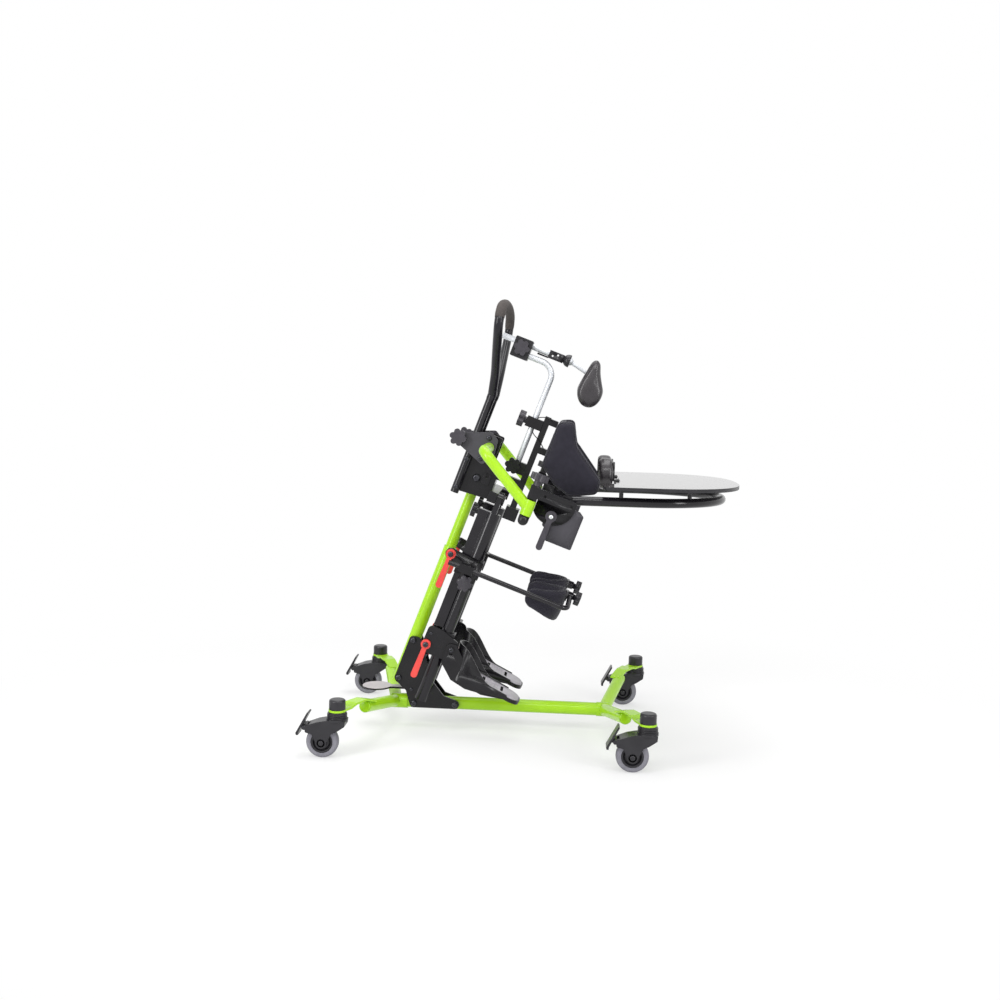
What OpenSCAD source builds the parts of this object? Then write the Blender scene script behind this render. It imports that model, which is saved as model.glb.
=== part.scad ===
/* [Base] */
// Distance between the caster stems across the frame
track = 560; // [500:5:620]
// Distance between the front and rear caster stems
wheelbase = 709; // [660:1:760]
// Outside diameter of the spine tube and of the mast's sleeve
main_tube_d = 32; // [30:0.5:36]
// Wall of the spine tube and of the mast's sleeve
main_tube_wall = 2.9; // [2:0.1:3.2]
// Height of the spine's axis above the floor
spine_z = 62; // [58:1:70]
// Outside diameter of the base legs
base_leg_d = 30; // [26:0.5:34]
// Wall of the base legs
base_leg_wall = 2.5; // [2:0.1:4]
// Distance of the leg joints from the middle, along the spine
joint_x = 262; // [240:1:280]
// Thickness of the straps that hold the casters
strap_t = 5; // [4:0.5:7]

/* [Casters] */
// Diameter of a caster wheel
wheel_d = 75; // [70:1:76]
// Width of a caster wheel
wheel_w = 26; // [20:1:28]
// How far a wheel's axle trails behind its stem
trail = 33; // [28:1:36]
// Diameter of a caster's stem
stem_d = 12; // [10:0.5:16]
// Underside of the straps above the floor
strap_z = 108.5; // [108.5:0.5:114]
// Diameter of the caps over the stems
cap_d = 38; // [34:1:42]
// Height of the caps
cap_h = 23.5; // [16:0.5:28]

/* [Mast] */
// Lean of the mast and of the body frame, from the vertical
lean = 20; // [18:0.5:22]
// Diameter of the sliding mast tube
mast_d = 26; // [22:0.5:26]
// Wall of the sliding mast tube
mast_wall = 2.2; // [1.5:0.1:3]
// Height of the sleeve's top along the mast
sleeve_top = 489; // [440:1:520]
// Height of the tilt pivot along the mast
pivot_u = 678.5; // [660:0.5:700]
// Thickness of the side plates of the base
base_plate_t = 5; // [4:0.5:8]

/* [Body frame] */
// Half the distance between the head's cheek plates, inside
cheek_y = 37; // [34:0.5:40]
// Thickness of the cheek plates and of the arm plates
plate_t = 6; // [5:0.5:7]
// Diameter of the handle's tube
handle_d = 20; // [18:0.5:20]
// Wall of the handle's tube
handle_wall = 2; // [1.5:0.1:3]
// Height of the handle's loop above its bend
loop_h = 208; // [180:1:220]
// Half width of the handle's loop
loop_w = 192; // [150:1:220]
// Lean of the loop back from the stems
loop_lean = 13.5; // [6:0.1:18]
// Wall of the smooth sleeve round the handle's loop
sleeve_t = 2; // [1.5:0.1:3]
// Wall of the foam grip, with the sleeve under it
grip_t = 4.3; // [3.5:0.1:6]

/* [Tray] */
// Distance of the tray's arms from the middle plane
arm_y = 230; // [222:1:236]
// Diameter of the tray's arms
arm_d = 25; // [22:0.5:25]
// Wall of the tray's arms
arm_wall = 2.5; // [2:0.1:4]
// Half width of the board
board_w = 275; // [240:1:276]
// Foremost point of the board, from the middle of the base
board_tip = 565.5; // [540:0.5:600]
// Thickness of the board
board_t = 9; // [6:0.5:12]
// Diameter of the tube under the board
tray_tube_d = 22; // [18:0.5:22]
// Wall of the tube under the board
tray_tube_wall = 2; // [1.5:0.1:3]
// Rise of the tube's axis above the tray's hinge
tray_rise = 34.6; // [31:0.1:38]
// Rise of the board's top above the tube's axis
board_rise = 40; // [38:0.5:44]

/* [Back and head] */
// Width of the back pad
back_w = 246; // [200:1:246]
// Thickness of the back pad
back_t = 40; // [30:1:50]
// Thickness of the hip wings
wing_t = 34; // [24:1:40]
// Diameter of the head support's rods
rod_d = 14.5; // [12:0.5:15]

/* [Legs] */
// Distance of the leg tubes from the middle plane
leg_y = 80; // [80:1:86]
// Diameter of the leg tube
leg_d = 30; // [28:0.5:30]
// Wall of the leg tube
leg_wall = 2.5; // [2:0.1:4]
// Diameter of the sleeve round the upper leg tube
leg_sleeve_d = 35; // [34:0.5:36]
// Height of the knee rod along the mast
knee_u = 480; // [476:1:484]
// Diameter of the knee rods
knee_rod_d = 12; // [10:0.5:13]
// Distance of a knee rod from its leg tube
knee_rod_y = 80; // [80:1:88]
// Length of the foot's sole
sole_l = 184; // [172:1:190]
// Width of the foot's sole
sole_w = 78; // [70:1:78]

/* [Hidden] */
// Gap between pieces that move past each other
gap = 0.3;
// Radial clearance of a pin or a shaft in its bore
fit = 0.06;
// Fineness of round pieces
$fn = 48;

// Places along the base
mast_foot_x = -300;
brake_reach = 93.1;
rear_reach = wheelbase / 2 + brake_reach;
origin_x = (rear_reach - board_tip) / 2;
leg_end = [joint_x + 46, 186, strap_z - 12.5];
strap_top = strap_z + strap_t;
plate_y = main_tube_d / 2 + gap;
plate_out = plate_y + base_plate_t;
bolt_r = 5;
mast_bolts = [134, 236.5];
spine_bolts = [-215, -111.5];
pedal_at = [-222, 97];
pedal_pin_r = 4;

// Places up the mast: v is ahead of the mast's axis and u is up along it
sleeve_foot = 120;
mast_foot = 252;
barrel_d = 34;
pivot_r = 6;
cheek_out = cheek_y + plate_t;
stem_y = cheek_out + gap + handle_d / 2;
stem_v = -38;
stem_foot = 627;
stem_top = 892;
arm_plate_y = stem_y + handle_d / 2 + 0.7;
arm_plate_out = arm_plate_y + plate_t;
axle = [3, 760];
star_at = [-75, 757];
star_r = 5;
beam_v = 46;
beam_d = 20;
hip_u = 655;
lug_v = beam_v + beam_d + gap;
lug_t = 12.7;

// Tray
post = [144.5, 677.5];
post_r = 9.5;
collar_l = 37;
collar_r = post_r + 4;
arm_bend = 25;
tilt_at = [201, 678];
tilt_r = 5;
bracket_w = 22;
quadrant_t = 4;
guard_t = 3;
quadrant_y = arm_y - bracket_w / 2 - quadrant_t;
guard_y = quadrant_y - guard_t;
ear_t = 8.7;
ear_y = guard_y - gap - ear_t;
tray_leg_y = ear_y - 8;
bend_x = board_tip - 36.5 - tray_leg_y;
hinge = [mast_foot_x + tilt_at.y * sin(lean) + tilt_at.x * cos(lean),
         tilt_at.y * cos(lean) - tilt_at.x * sin(lean)];
tray_tube_z = round(hinge.y + tray_rise);
pad_back = 262;
plate_reach = 16;
pad_seat = 0.6;
board_z = tray_tube_z + board_rise;

// Back and head
bar_v = 101;
bar_t = 15;
back_u = 826;
receiver = [back_u - 104, back_u - 74];
post_clamp = [back_u + 14, back_u + 40];
post_v = 78.5;
post_rise = 134;
post_u = post_clamp[1] + post_rise;
rod_u = post_u + 25;
post_bend = 35;
block_v = [-37, 8];
block_u = [post_u - 13, rod_u + 12];
block_knob_at = [(block_v[0] + block_v[1]) / 2, (post_u + rod_u) / 2];
nod_r = 2.5;
ball_v = 103.6;
ball_r = 11;
pad_v = 136;

// Legs
leg_v = 73;
leg_foot = 122;
leg_top = 618;
sleeve_foot_u = knee_u + 20;
rail_w = 22;
rail_foot = 312;
clamp_y = 18;
knee_lever_at = [13, knee_u + 11];
foot_lever_at = [36.5, 262];
ankle = [99, 272];
lever_pin_r = 4;
ankle_r = 5;
eye = [318, knee_u + 20];
sole_at = [117, 235];
sole_pitch = 7;
sole_t = 9;

CASTERS = [["rear_right", -1, -1], ["rear_left", -1, 1], ["front_right", 1, -1], ["front_left", 1, 1]];

// Colours, as the object shows them
lime = "yellowgreen";
black = "#26262b";
navy = "#23233a";
red = "#e0483f";
grey = "#8d8d92";
silver = "#c4c8d0";

// Moves a piece from the base's middle to the object's origin
module place() {
    translate([origin_x, 0, 0])
        children();
}

// Puts a piece that is drawn in v, y and u into the leaning frame
module leaning() {
    place()
        translate([mast_foot_x, 0, 0])
            rotate([0, lean, 0])
                children();
}

module both_sides() {
    children();
    mirror([0, 1, 0])
        children();
}

// Puts a piece that is drawn for the left leg, outwards along y, on either leg
module on_leg(side) {
    leaning()
        mirror([0, side < 0 ? 1 : 0, 0])
            translate([0, leg_y, 0])
                children();
}

// Stands a flat outline up, from y_lo to y_hi
module upright(y_lo, y_hi) {
    translate([0, y_hi, 0])
        rotate([90, 0, 0])
            linear_extrude(y_hi - y_lo)
                children();
}

// A round bar along y at a place in the leaning or level frame
module cross_bar(at, r, y_lo, y_hi) {
    translate([at.x, y_lo, at.y])
        rotate([-90, 0, 0])
            cylinder(r = r, h = y_hi - y_lo);
}

// A round bar along the first axis
module fore_bar(at, r, lo, hi) {
    translate([lo, at.x, at.y])
        rotate([0, 90, 0])
            cylinder(r = r, h = hi - lo);
}

module bar_between(a, b, r) {
    d = b - a;
    translate(a)
        rotate([0, acos(d.z / norm(d)), atan2(d.y, d.x)])
            cylinder(r = r, h = norm(d));
}

// A box from its lowest to its highest corner
module block(lo, hi) {
    translate(lo)
        cube(hi - lo);
}

// Outline of a grip knob with round lobes
module lobes(r, count) {
    lobe_r = r * 0.34;
    circle(r * 0.76);
    for (i = [0 : count - 1])
        rotate(i * 360 / count)
            translate([r - lobe_r, 0])
                circle(lobe_r);
}

// A lobed knob on its shank, along the local z axis, with its foot at zero
module knob(r, h, shank_r, shank_in, neck) {
    translate([0, 0, -shank_in])
        cylinder(r = shank_r, h = shank_in + neck + 1);
    cylinder(r = r * 0.42, h = neck + 1);
    translate([0, 0, neck])
        linear_extrude(h)
            lobes(r, 6);
}

// Flat outline of a lever that hangs from its hub
module lever_outline(length, hub_r, neck_r, tip_r) {
    circle(hub_r);
    translate([0, tip_r - length])
        circle(tip_r);
    polygon([[-neck_r, 0], [-tip_r, tip_r - length], [tip_r, tip_r - length], [neck_r, 0]]);
}

// Base

module base_spine() {
    end = joint_x - 14;
    color(lime) place()
        difference() {
            fore_bar([0, spine_z], main_tube_d / 2, -end, end);
            fore_bar([0, spine_z], main_tube_d / 2 - main_tube_wall, -end - 1, end + 1);
            for (x = spine_bolts)
                cross_bar([x, spine_z], bolt_r + fit, -main_tube_d, main_tube_d);
        }
}

// Two legs that spread from a socket on the spine, each with a strap and a ring for its caster
module base_legs(end, socket, wall) {
    socket_r = main_tube_d / 2 + wall;
    stem = [wheelbase / 2, track / 2];
    root = [joint_x, 0, spine_z];
    run = (leg_end - root) / norm(leg_end - root);
    flat = [leg_end.x - stem.x, leg_end.y - stem.y];
    inward = flat / norm(flat);
    seat = norm(flat) + 30;
    strap = [[0, 0], [34, 0], [54, 5], [seat - 43, 5], [seat, -7], [seat, -7 + strap_t],
             [seat - 43, 5 + strap_t], [54, 5 + strap_t], [34, strap_t], [0, strap_t]];
    color(lime) place() mirror([end < 0 ? 1 : 0, 0, 0])
        difference() {
            union() {
                fore_bar([0, spine_z], socket_r, joint_x - socket, joint_x + 12);
                both_sides() {
                    bar_between(root, leg_end, base_leg_d / 2);
                    translate([stem.x, stem.y, strap_z])
                        rotate(atan2(inward.y, inward.x)) {
                            cylinder(d = cap_d + 2, h = strap_t);
                            intersection() {
                                upright(-20, 20)
                                    polygon(strap);
                                translate([0, 0, -20])
                                    linear_extrude(50)
                                        polygon([[0, -17.5], [seat + 1, -13], [seat + 1, 13], [0, 17.5]]);
                            }
                        }
                }
            }
            fore_bar([0, spine_z], main_tube_d / 2 + fit, joint_x - socket - 1, joint_x - 14 + gap);
            both_sides() {
                bar_between(root + run * 40, leg_end + run, base_leg_d / 2 - base_leg_wall);
                translate([stem.x, stem.y, strap_z - 1])
                    cylinder(r = stem_d / 2 + fit, h = strap_t + 2);
            }
        }
}

module rear_legs() base_legs(-1, 30, 2.5);

module front_legs() base_legs(1, 18, 1.5);

module caster_caps() {
    crown = 5;
    color(black) place()
        for (c = CASTERS)
            translate([c[1] * wheelbase / 2, c[2] * track / 2, 0]) {
                translate([0, 0, strap_top])
                    rotate_extrude() {
                        square([cap_d / 2, cap_h - crown]);
                        square([cap_d / 2 - crown, cap_h]);
                        translate([cap_d / 2 - crown, cap_h - crown])
                            intersection() {
                                circle(crown);
                                square(crown);
                            }
                    }
                translate([0, 0, strap_z - 13])
                    cylinder(r = stem_d / 2, h = strap_t + 14);
            }
}

module base_plates() {
    axis_at = function (u) [mast_foot_x + u * sin(lean), u * cos(lean)];
    top = axis_at(mast_bolts[1]);
    heel = axis_at(mast_bolts[0]);
    round_r = 11;
    outline = [
        top, heel, [pedal_at.x - 4, pedal_at.y + 3], [spine_bolts[0], spine_z],
        [spine_bolts[1], spine_z], [spine_bolts[1] - 35, spine_z + 12],
        [spine_bolts[1] - 68, spine_z + 54], [top.x + 9, top.y - 2],
    ];
    color(black) place()
        both_sides()
            difference() {
                upright(plate_y, plate_out)
                    offset(r = round_r)
                        polygon(outline);
                for (at = concat([for (u = mast_bolts) axis_at(u)], [for (x = spine_bolts) [x, spine_z]]))
                    cross_bar(at, bolt_r + fit, 0, plate_out + 1);
                cross_bar(pedal_at, pedal_pin_r + fit, 0, plate_out + 1);
            }
}

module plate_bolts() {
    head_r = 8;
    head_h = 5.5;
    module bolt(at) {
        cross_bar(at, bolt_r, -plate_out, plate_out);
        cross_bar(at, head_r, -plate_out - head_h, -plate_out);
        cross_bar(at, head_r, plate_out, plate_out + head_h);
    }
    color(black) place() {
        for (u = mast_bolts)
            bolt([mast_foot_x + u * sin(lean), u * cos(lean)]);
        for (x = spine_bolts)
            bolt([x, spine_z]);
        cross_bar(pedal_at, pedal_pin_r, -plate_out - 2, plate_out + 2);
    }
}

// A grey plate, broad where the foot presses it
module foot_pedal() {
    pedal_t = 5;
    reach = 127;
    color(grey) place()
        difference() {
            union() {
                translate([pedal_at.x, 0, pedal_at.y - pedal_t / 2])
                    linear_extrude(pedal_t) {
                        translate([-reach + 49, -12])
                            square([reach - 49, 24]);
                        offset(r = 12)
                            polygon([[12 - reach, -33], [48 - reach, -18], [48 - reach, 18], [12 - reach, 33]]);
                    }
                cross_bar(pedal_at, 7, -main_tube_d / 2, main_tube_d / 2);
            }
            cross_bar(pedal_at, pedal_pin_r + fit, -main_tube_d, main_tube_d);
        }
}

// Casters, drawn with the stem at the origin and the wheel trailing behind

module at_caster(x, y) {
    place()
        translate([x * wheelbase / 2, y * track / 2, 0])
            children();
}

fork_w = 42;
brake_at = [-73, 72];
brake_pin_r = 3;
brake_hub_y = 10.6;

module caster_fork(x, y) {
    hub = [-trail, wheel_d / 2];
    neck_top = strap_z - gap;
    neck_foot = 92;
    color(black) at_caster(x, y)
        difference() {
            union() {
                rotate_extrude() {
                    translate([0, neck_foot])
                        square([21, neck_top - neck_foot]);
                    for (z = [neck_foot + 1.5 : 4 : neck_top - 3])
                        translate([0, z])
                            square([23, 2.4]);
                }
                translate([0, 0, 87])
                    cylinder(r = 24.5, h = 6);
                upright(-fork_w / 2, fork_w / 2) {
                    offset(r = 2)
                        polygon([[20, 88], [19, 79], [2, 67], [-11, 61], hub + [10, 0], hub + [-10, 0],
                                 [-53, 59], [-68, 63], brake_at + [3, 2], [-44, 84], [-24, 88]]);
                    translate(hub)
                        circle(13);
                    translate(brake_at)
                        circle(5);
                }
            }
            block([-90, -brake_hub_y - gap, 55], [brake_at.x + 10, brake_hub_y + gap, 95]);
            difference() {
                cross_bar(hub, wheel_d / 2 + 2, -wheel_w / 2 - 1.5, wheel_w / 2 + 1.5);
                cross_bar(hub, 4, -fork_w, fork_w);
            }
            translate([0, 0, strap_z - 14])
                cylinder(r = stem_d / 2 + fit, h = 20);
        }
    color(black) at_caster(x, y)
        cross_bar(brake_at, brake_pin_r, -fork_w / 2 + 2, fork_w / 2 - 2);
}

// The grey tread and the black hub, with a dished web
module caster_wheel(x, y) {
    tread_in = wheel_d / 2 - 12;
    shoulder = 4;
    module tread_section() {
        translate([tread_in, -wheel_w / 2])
            square([wheel_d / 2 - shoulder - tread_in, wheel_w]);
        translate([tread_in, shoulder - wheel_w / 2])
            square([wheel_d / 2 - tread_in, wheel_w - 2 * shoulder]);
        for (s = [-1, 1])
            translate([wheel_d / 2 - shoulder, s * (wheel_w / 2 - shoulder)])
                circle(shoulder);
    }
    at_caster(x, y)
        translate([-trail, 0, wheel_d / 2])
            rotate([90, 0, 0]) {
                color(grey)
                    rotate_extrude()
                        tread_section();
                color(black)
                    rotate_extrude() {
                        translate([4 + fit, -wheel_w / 2])
                            square([8, wheel_w]);
                        translate([10, -4])
                            square([tread_in - 10, 8]);
                        translate([tread_in - 4, 2 - wheel_w / 2])
                            square([4, wheel_w - 4]);
                    }
            }
}

// A foot lever behind the wheel, on a cross pin at the fork's back
module caster_brake(x, y) {
    color(black) at_caster(x, y)
        difference() {
            union() {
                cross_bar(brake_at, 6, -brake_hub_y, brake_hub_y);
                upright(-brake_hub_y, brake_hub_y)
                    polygon([brake_at + [0, 6], brake_at + [-6, 9], brake_at + [-11, -2], brake_at + [0, -6]]);
                upright(-17, 17)
                    polygon([[-63.5, 104], [-67, 106], [-brake_reach, 58], [1.5 - brake_reach, 53],
                             [6 - brake_reach, 53], [6.5 - brake_reach, 59]]);
            }
            cross_bar(brake_at, brake_pin_r + fit, -30, 30);
        }
}

// Mast

module mast_sleeve() {
    color(lime) leaning()
        difference() {
            translate([0, 0, sleeve_foot])
                cylinder(d = main_tube_d, h = sleeve_top - sleeve_foot);
            translate([0, 0, sleeve_foot - 1])
                cylinder(r = mast_d / 2 + fit, h = sleeve_top - sleeve_foot + 2);
            for (u = mast_bolts)
                cross_bar([0, u], bolt_r + fit, -main_tube_d, main_tube_d);
        }
}

module mast_tube() {
    cap_r = 9;
    color(lime) leaning() {
        difference() {
            union() {
                translate([0, 0, mast_foot])
                    cylinder(d = mast_d, h = pivot_u - mast_foot);
                cross_bar([0, pivot_u], barrel_d / 2, gap - cheek_y, cheek_y - gap);
                cross_bar([0, pivot_u], pivot_r, -cheek_out - 1, cheek_out + 1);
                both_sides()
                    cross_bar([0, pivot_u], cap_r, cheek_out + gap, cheek_out + 4);
            }
            translate([0, 0, mast_foot - 1])
                cylinder(r = mast_d / 2 - mast_wall, h = pivot_u - barrel_d / 2 - mast_foot);
        }
    }
}

// Body frame

// Cheeks, front wall and hip beam, welded, with the two pins that the legs swing on
module head_frame() {
    rear = stem_v - handle_d / 2 + 2;
    pin_end = lug_v + lug_t + gap;
    color(black) leaning()
        difference() {
            union() {
                both_sides()
                    upright(cheek_y, cheek_out)
                        offset(r = 5)
                            polygon([
                                [rear + 5, pivot_u - 41], [beam_v - 5, pivot_u - 34], [beam_v - 5, pivot_u + 26],
                                [axle.x + 17, pivot_u + 40], [axle.x + 17, axle.y + 26],
                                [axle.x - 22, axle.y + 26], [rear + 5, pivot_u + 34],
                            ]);
                block([beam_v - 12, -cheek_out, pivot_u - 39], [beam_v, cheek_out, pivot_u + 31]);
                block([beam_v - 1, -leg_y - 24, hip_u - 13], [beam_v + beam_d, leg_y + 24, hip_u + 13]);
                difference() {
                    block([14, -cheek_out - 9, pivot_u - 7], [33, 1 - cheek_out, pivot_u + 20]);
                    block([20, -cheek_out - 10, pivot_u + 10], [27, -cheek_out, pivot_u + 21]);
                }
                for (side = [-1, 1]) {
                    fore_bar([side * leg_y, hip_u], pivot_r, beam_v, pin_end + 1);
                    fore_bar([side * leg_y, hip_u], 13, pin_end, pin_end + 6);
                }
            }
            cross_bar([0, pivot_u], pivot_r + fit, -cheek_out - 1, cheek_out + 1);
            cross_bar(axle, arm_d / 2 + fit, -cheek_out - 1, cheek_out + 1);
        }
}

// Three-cornered plates outside the handle's stems, on spacers from the cheeks
module side_plates() {
    spacers = [[axle.x - 8, axle.y + 22], [axle.x - 10, axle.y - 32]];
    color(black) leaning()
        both_sides()
            difference() {
                union() {
                    upright(arm_plate_y, arm_plate_out)
                        offset(r = 9)
                            polygon([
                                [star_at.x, star_at.y + 3], [star_at.x + 4, star_at.y - 5], [axle.x - 5, axle.y - 34],
                                [axle.x + 9, axle.y - 8], [axle.x + 6, axle.y + 19], [axle.x - 8, axle.y + 28],
                            ]);
                    for (at = spacers)
                        cross_bar(at, 7, cheek_out, arm_plate_y + 1);
                    for (at = spacers)
                        cross_bar(at, 5, arm_plate_out, arm_plate_out + 2);
                }
                cross_bar(axle, arm_d / 2 + fit, 0, arm_plate_out + 1);
                cross_bar(star_at, star_r + fit, 0, arm_plate_out + 1);
            }
}

// Points of a smooth curve through a list of points, some steps to each stretch
function spline(p, steps) = [
    for (i = [0 : len(p) - 2])
        let (a = p[max(i - 1, 0)], b = p[i], c = p[i + 1], d = p[min(i + 2, len(p) - 1)])
            for (k = [0 : steps - 1])
                let (t = k / steps)
                    0.5 * ((2 * b) + (c - a) * t + (2 * a - 5 * b + 4 * c - d) * t * t
                        + (3 * b - a - 3 * c + d) * t * t * t),
    p[len(p) - 1],
];

// Rings of a tube along a path that lies near one plane, whose normal is given
function tube_rings(path, radii, sides, normal) = [
    for (i = [0 : len(path) - 1])
        let (run = path[min(i + 1, len(path) - 1)] - path[max(i - 1, 0)],
             across = cross(normal, run) / norm(cross(normal, run)),
             up = cross(run, across) / norm(run),
             r = is_list(radii) ? radii[i] : radii)
            for (k = [0 : sides - 1])
                path[i] + r * (across * cos(k * 360 / sides) + up * sin(k * 360 / sides)),
];

module swept(path, radii, sides, normal) {
    n = len(path);
    walls = [
        for (i = [0 : n - 2])
            for (k = [0 : sides - 1])
                let (a = i * sides + k, b = i * sides + (k + 1) % sides)
                    each [[a, a + sides, b], [b, a + sides, b + sides]],
    ];
    polyhedron(tube_rings(path, radii, sides, normal),
               concat(walls, [[for (k = [0 : sides - 1]) k],
                              [for (k = [sides - 1 : -1 : 0]) (n - 1) * sides + k]]));
}

// The loop's half outline: share of the half width, share of the height
loop_half = [[0.42, 0.18], [0.61, 0.37], [0.81, 0.56], [0.96, 0.75], [0.83, 0.92], [0.42, 0.985]];

function loop_point(y, w) = [stem_v - w * sin(loop_lean), y, stem_top + w * cos(loop_lean)];

function loop_side(s) = [
    for (p = loop_half)
        loop_point(s * p[0] * loop_w, p[1] * loop_h),
];

function reversed(list) = [for (i = [len(list) - 1 : -1 : 0]) list[i]];

loop_top = concat(loop_side(-1), [loop_point(0, loop_h)], reversed(loop_side(1)));
loop_steps = 4;
loop_plane = [cos(loop_lean), 0, sin(loop_lean)];

function stem_at(side, u) = [stem_v, side * stem_y, u];

loop_bend = stem_top - 10;
loop_course = spline(concat([stem_at(-1, loop_bend)], loop_top, [stem_at(1, loop_bend)]), loop_steps);

// One bent tube: up one stem, round the loop and down the other stem
module push_handle() {
    path = concat([stem_at(-1, stem_foot)], loop_course, [stem_at(1, stem_foot)]);
    open = [0, 0, 1];
    last = len(path) - 1;
    inner = [for (i = [0 : last]) path[i] - (i == 0 || i == last ? open : 0 * open)];
    color(black) leaning()
        difference() {
            swept(path, handle_d / 2, 16, loop_plane);
            swept(inner, handle_d / 2 - handle_wall, 16, loop_plane);
        }
}

// A smooth sleeve round the whole loop, thicker where it is foam, over the top
module handle_grip() {
    first = 4 * loop_steps + 1;
    last = len(loop_course) - 1 - first;
    step = 0.5;
    bare = handle_d / 2 + gap + sleeve_t;
    thick = handle_d / 2 + gap + grip_t;
    start = [stem_at(-1, loop_bend - 14)];
    end = [stem_at(1, loop_bend - 14)];
    run_in = loop_course[first] - loop_course[first - 1];
    run_out = loop_course[last + 1] - loop_course[last];
    path = concat(start, [for (i = [0 : first]) loop_course[i]],
                  [loop_course[first] + run_in * step / norm(run_in)],
                  [for (i = [first + 1 : last - 1]) loop_course[i]],
                  [loop_course[last] - run_out * step / norm(run_out)],
                  [for (i = [last : len(loop_course) - 1]) loop_course[i]], end);
    radii = [for (i = [0 : len(path) - 1]) i < first + 2 || i > len(path) - 3 - first ? bare : thick];
    drop = [0, 0, 1];
    inner = concat([start[0] - drop], loop_course, [end[0] - drop]);
    color(black) leaning()
        difference() {
            swept(path, radii, 16, loop_plane);
            swept(inner, handle_d / 2 + gap, 16, loop_plane);
        }
}

// Two knobs on one threaded rod that draws the arm plates together
module star_knobs() {
    color(black) leaning() {
        cross_bar(star_at, star_r, -arm_plate_out - 2, arm_plate_out + 2);
        both_sides()
            translate([star_at.x, arm_plate_out + gap, star_at.y])
                rotate([-90, 0, 0])
                    knob(21, 13, star_r, 1, 3);
    }
}

// Tray

// An axle through both plates, an elbow on each end, and arms that end in collars for the tray's posts
module tray_arms() {
    drop = post - axle;
    reach = norm(drop);
    turn = atan2(-drop.y, drop.x);
    color(lime) leaning()
        difference() {
            union() {
                cross_bar(axle, arm_d / 2, arm_bend - arm_y, arm_y - arm_bend);
                both_sides()
                    translate([axle.x, 0, axle.y])
                        rotate([0, turn, 0]) {
                            translate([arm_bend, arm_y - arm_bend, 0])
                                rotate([0, 0, 90])
                                    rotate_extrude(angle = 90)
                                        translate([arm_bend, 0])
                                            circle(d = arm_d);
                            fore_bar([arm_y, 0], arm_d / 2, arm_bend, reach);
                        }
                both_sides()
                    translate([post.x, arm_y, post.y - collar_l / 2])
                        cylinder(r = collar_r, h = collar_l);
            }
            both_sides()
                translate([post.x, arm_y, post.y - collar_l])
                    cylinder(r = post_r + gap, h = 2 * collar_l);
            cross_bar(axle, arm_d / 2 - arm_wall, arm_bend - arm_y, arm_y - arm_bend);
            both_sides()
                translate([axle.x, 0, axle.y])
                    rotate([0, turn, 0])
                        fore_bar([arm_y, 0], arm_d / 2 - arm_wall, arm_bend, reach - collar_r);
        }
}

// Posts in the collars, the square tubes that they carry, the half-round quadrants and the guard plates
module tray_brackets() {
    seat = post.y + collar_l / 2 + gap;
    foot = post.y - collar_l / 2 - gap;
    head = seat + 34;
    half = bracket_w / 2;
    tube_u = [704, 728];
    tube_end = 246;
    color(black) leaning()
        both_sides() {
            difference() {
                union() {
                    translate([post.x, arm_y, foot - 10])
                        cylinder(r = post_r, h = seat - foot + 20);
                    translate([post.x, arm_y, foot - 12])
                        cylinder(r = post_r + 2.8, h = 12);
                    translate([post.x, arm_y, foot - 12])
                        sphere(r = post_r + 2.8);
                    upright(arm_y - half, arm_y + half)
                        polygon([[post.x - half + 6, seat], [post.x + half, seat], [post.x + half, head],
                                 [post.x - half, head], [post.x - half, seat + 4]]);
                    block([post.x, arm_y - half, tube_u[0]], [tube_end, arm_y + half, tube_u[1]]);
                    upright(quadrant_y, arm_y - half)
                        intersection() {
                            translate([197, tube_u[0] + 2])
                                circle(50);
                            translate([post.x + collar_r + gap, 640])
                                square([90, tube_u[0] + 4 - 640]);
                        }
                    upright(guard_y, quadrant_y)
                        offset(r = 4)
                            polygon([[209, 624], [267, 624], [267, 700], [258, 706], [209, 706]]);
                    cross_bar(tilt_at, tilt_r, ear_y - 5, arm_y + 8);
                    cross_bar(tilt_at, 9, ear_y - 5, ear_y - gap);
                }
                block([post.x + half + 4, arm_y - half + 2.5, tube_u[0] + 2.5],
                      [tube_end + 1, arm_y + half - 2.5, tube_u[1] - 2.5]);
                translate([post.x, arm_y, head - 16])
                    cylinder(r = 4 + fit, h = 20);
                for (v = [172, 236])
                    cross_bar([v, 716], 3, arm_y, arm_y + half + 1);
            }
        }
}

module tray_knob(side) {
    head = post.y + collar_l / 2 + gap + 34;
    color(black) leaning()
        translate([post.x, side * arm_y, head + gap])
            knob(21, 15, 4, 14, 13);
}

// A clamping lever on the quadrant's pin, with a plain round cap
module tray_lever(side) {
    color(black) leaning()
        mirror([0, side < 0 ? 1 : 0, 0])
            difference() {
                union() {
                    cross_bar(tilt_at, 11, arm_y - bracket_w / 2 + gap, arm_y + 2);
                    upright(arm_y - 5, arm_y + 3)
                        translate(tilt_at)
                            lever_outline(82, 13, 6, 7.5);
                }
                cross_bar(tilt_at, tilt_r + fit, 0, arm_y + 20);
            }
}

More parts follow.
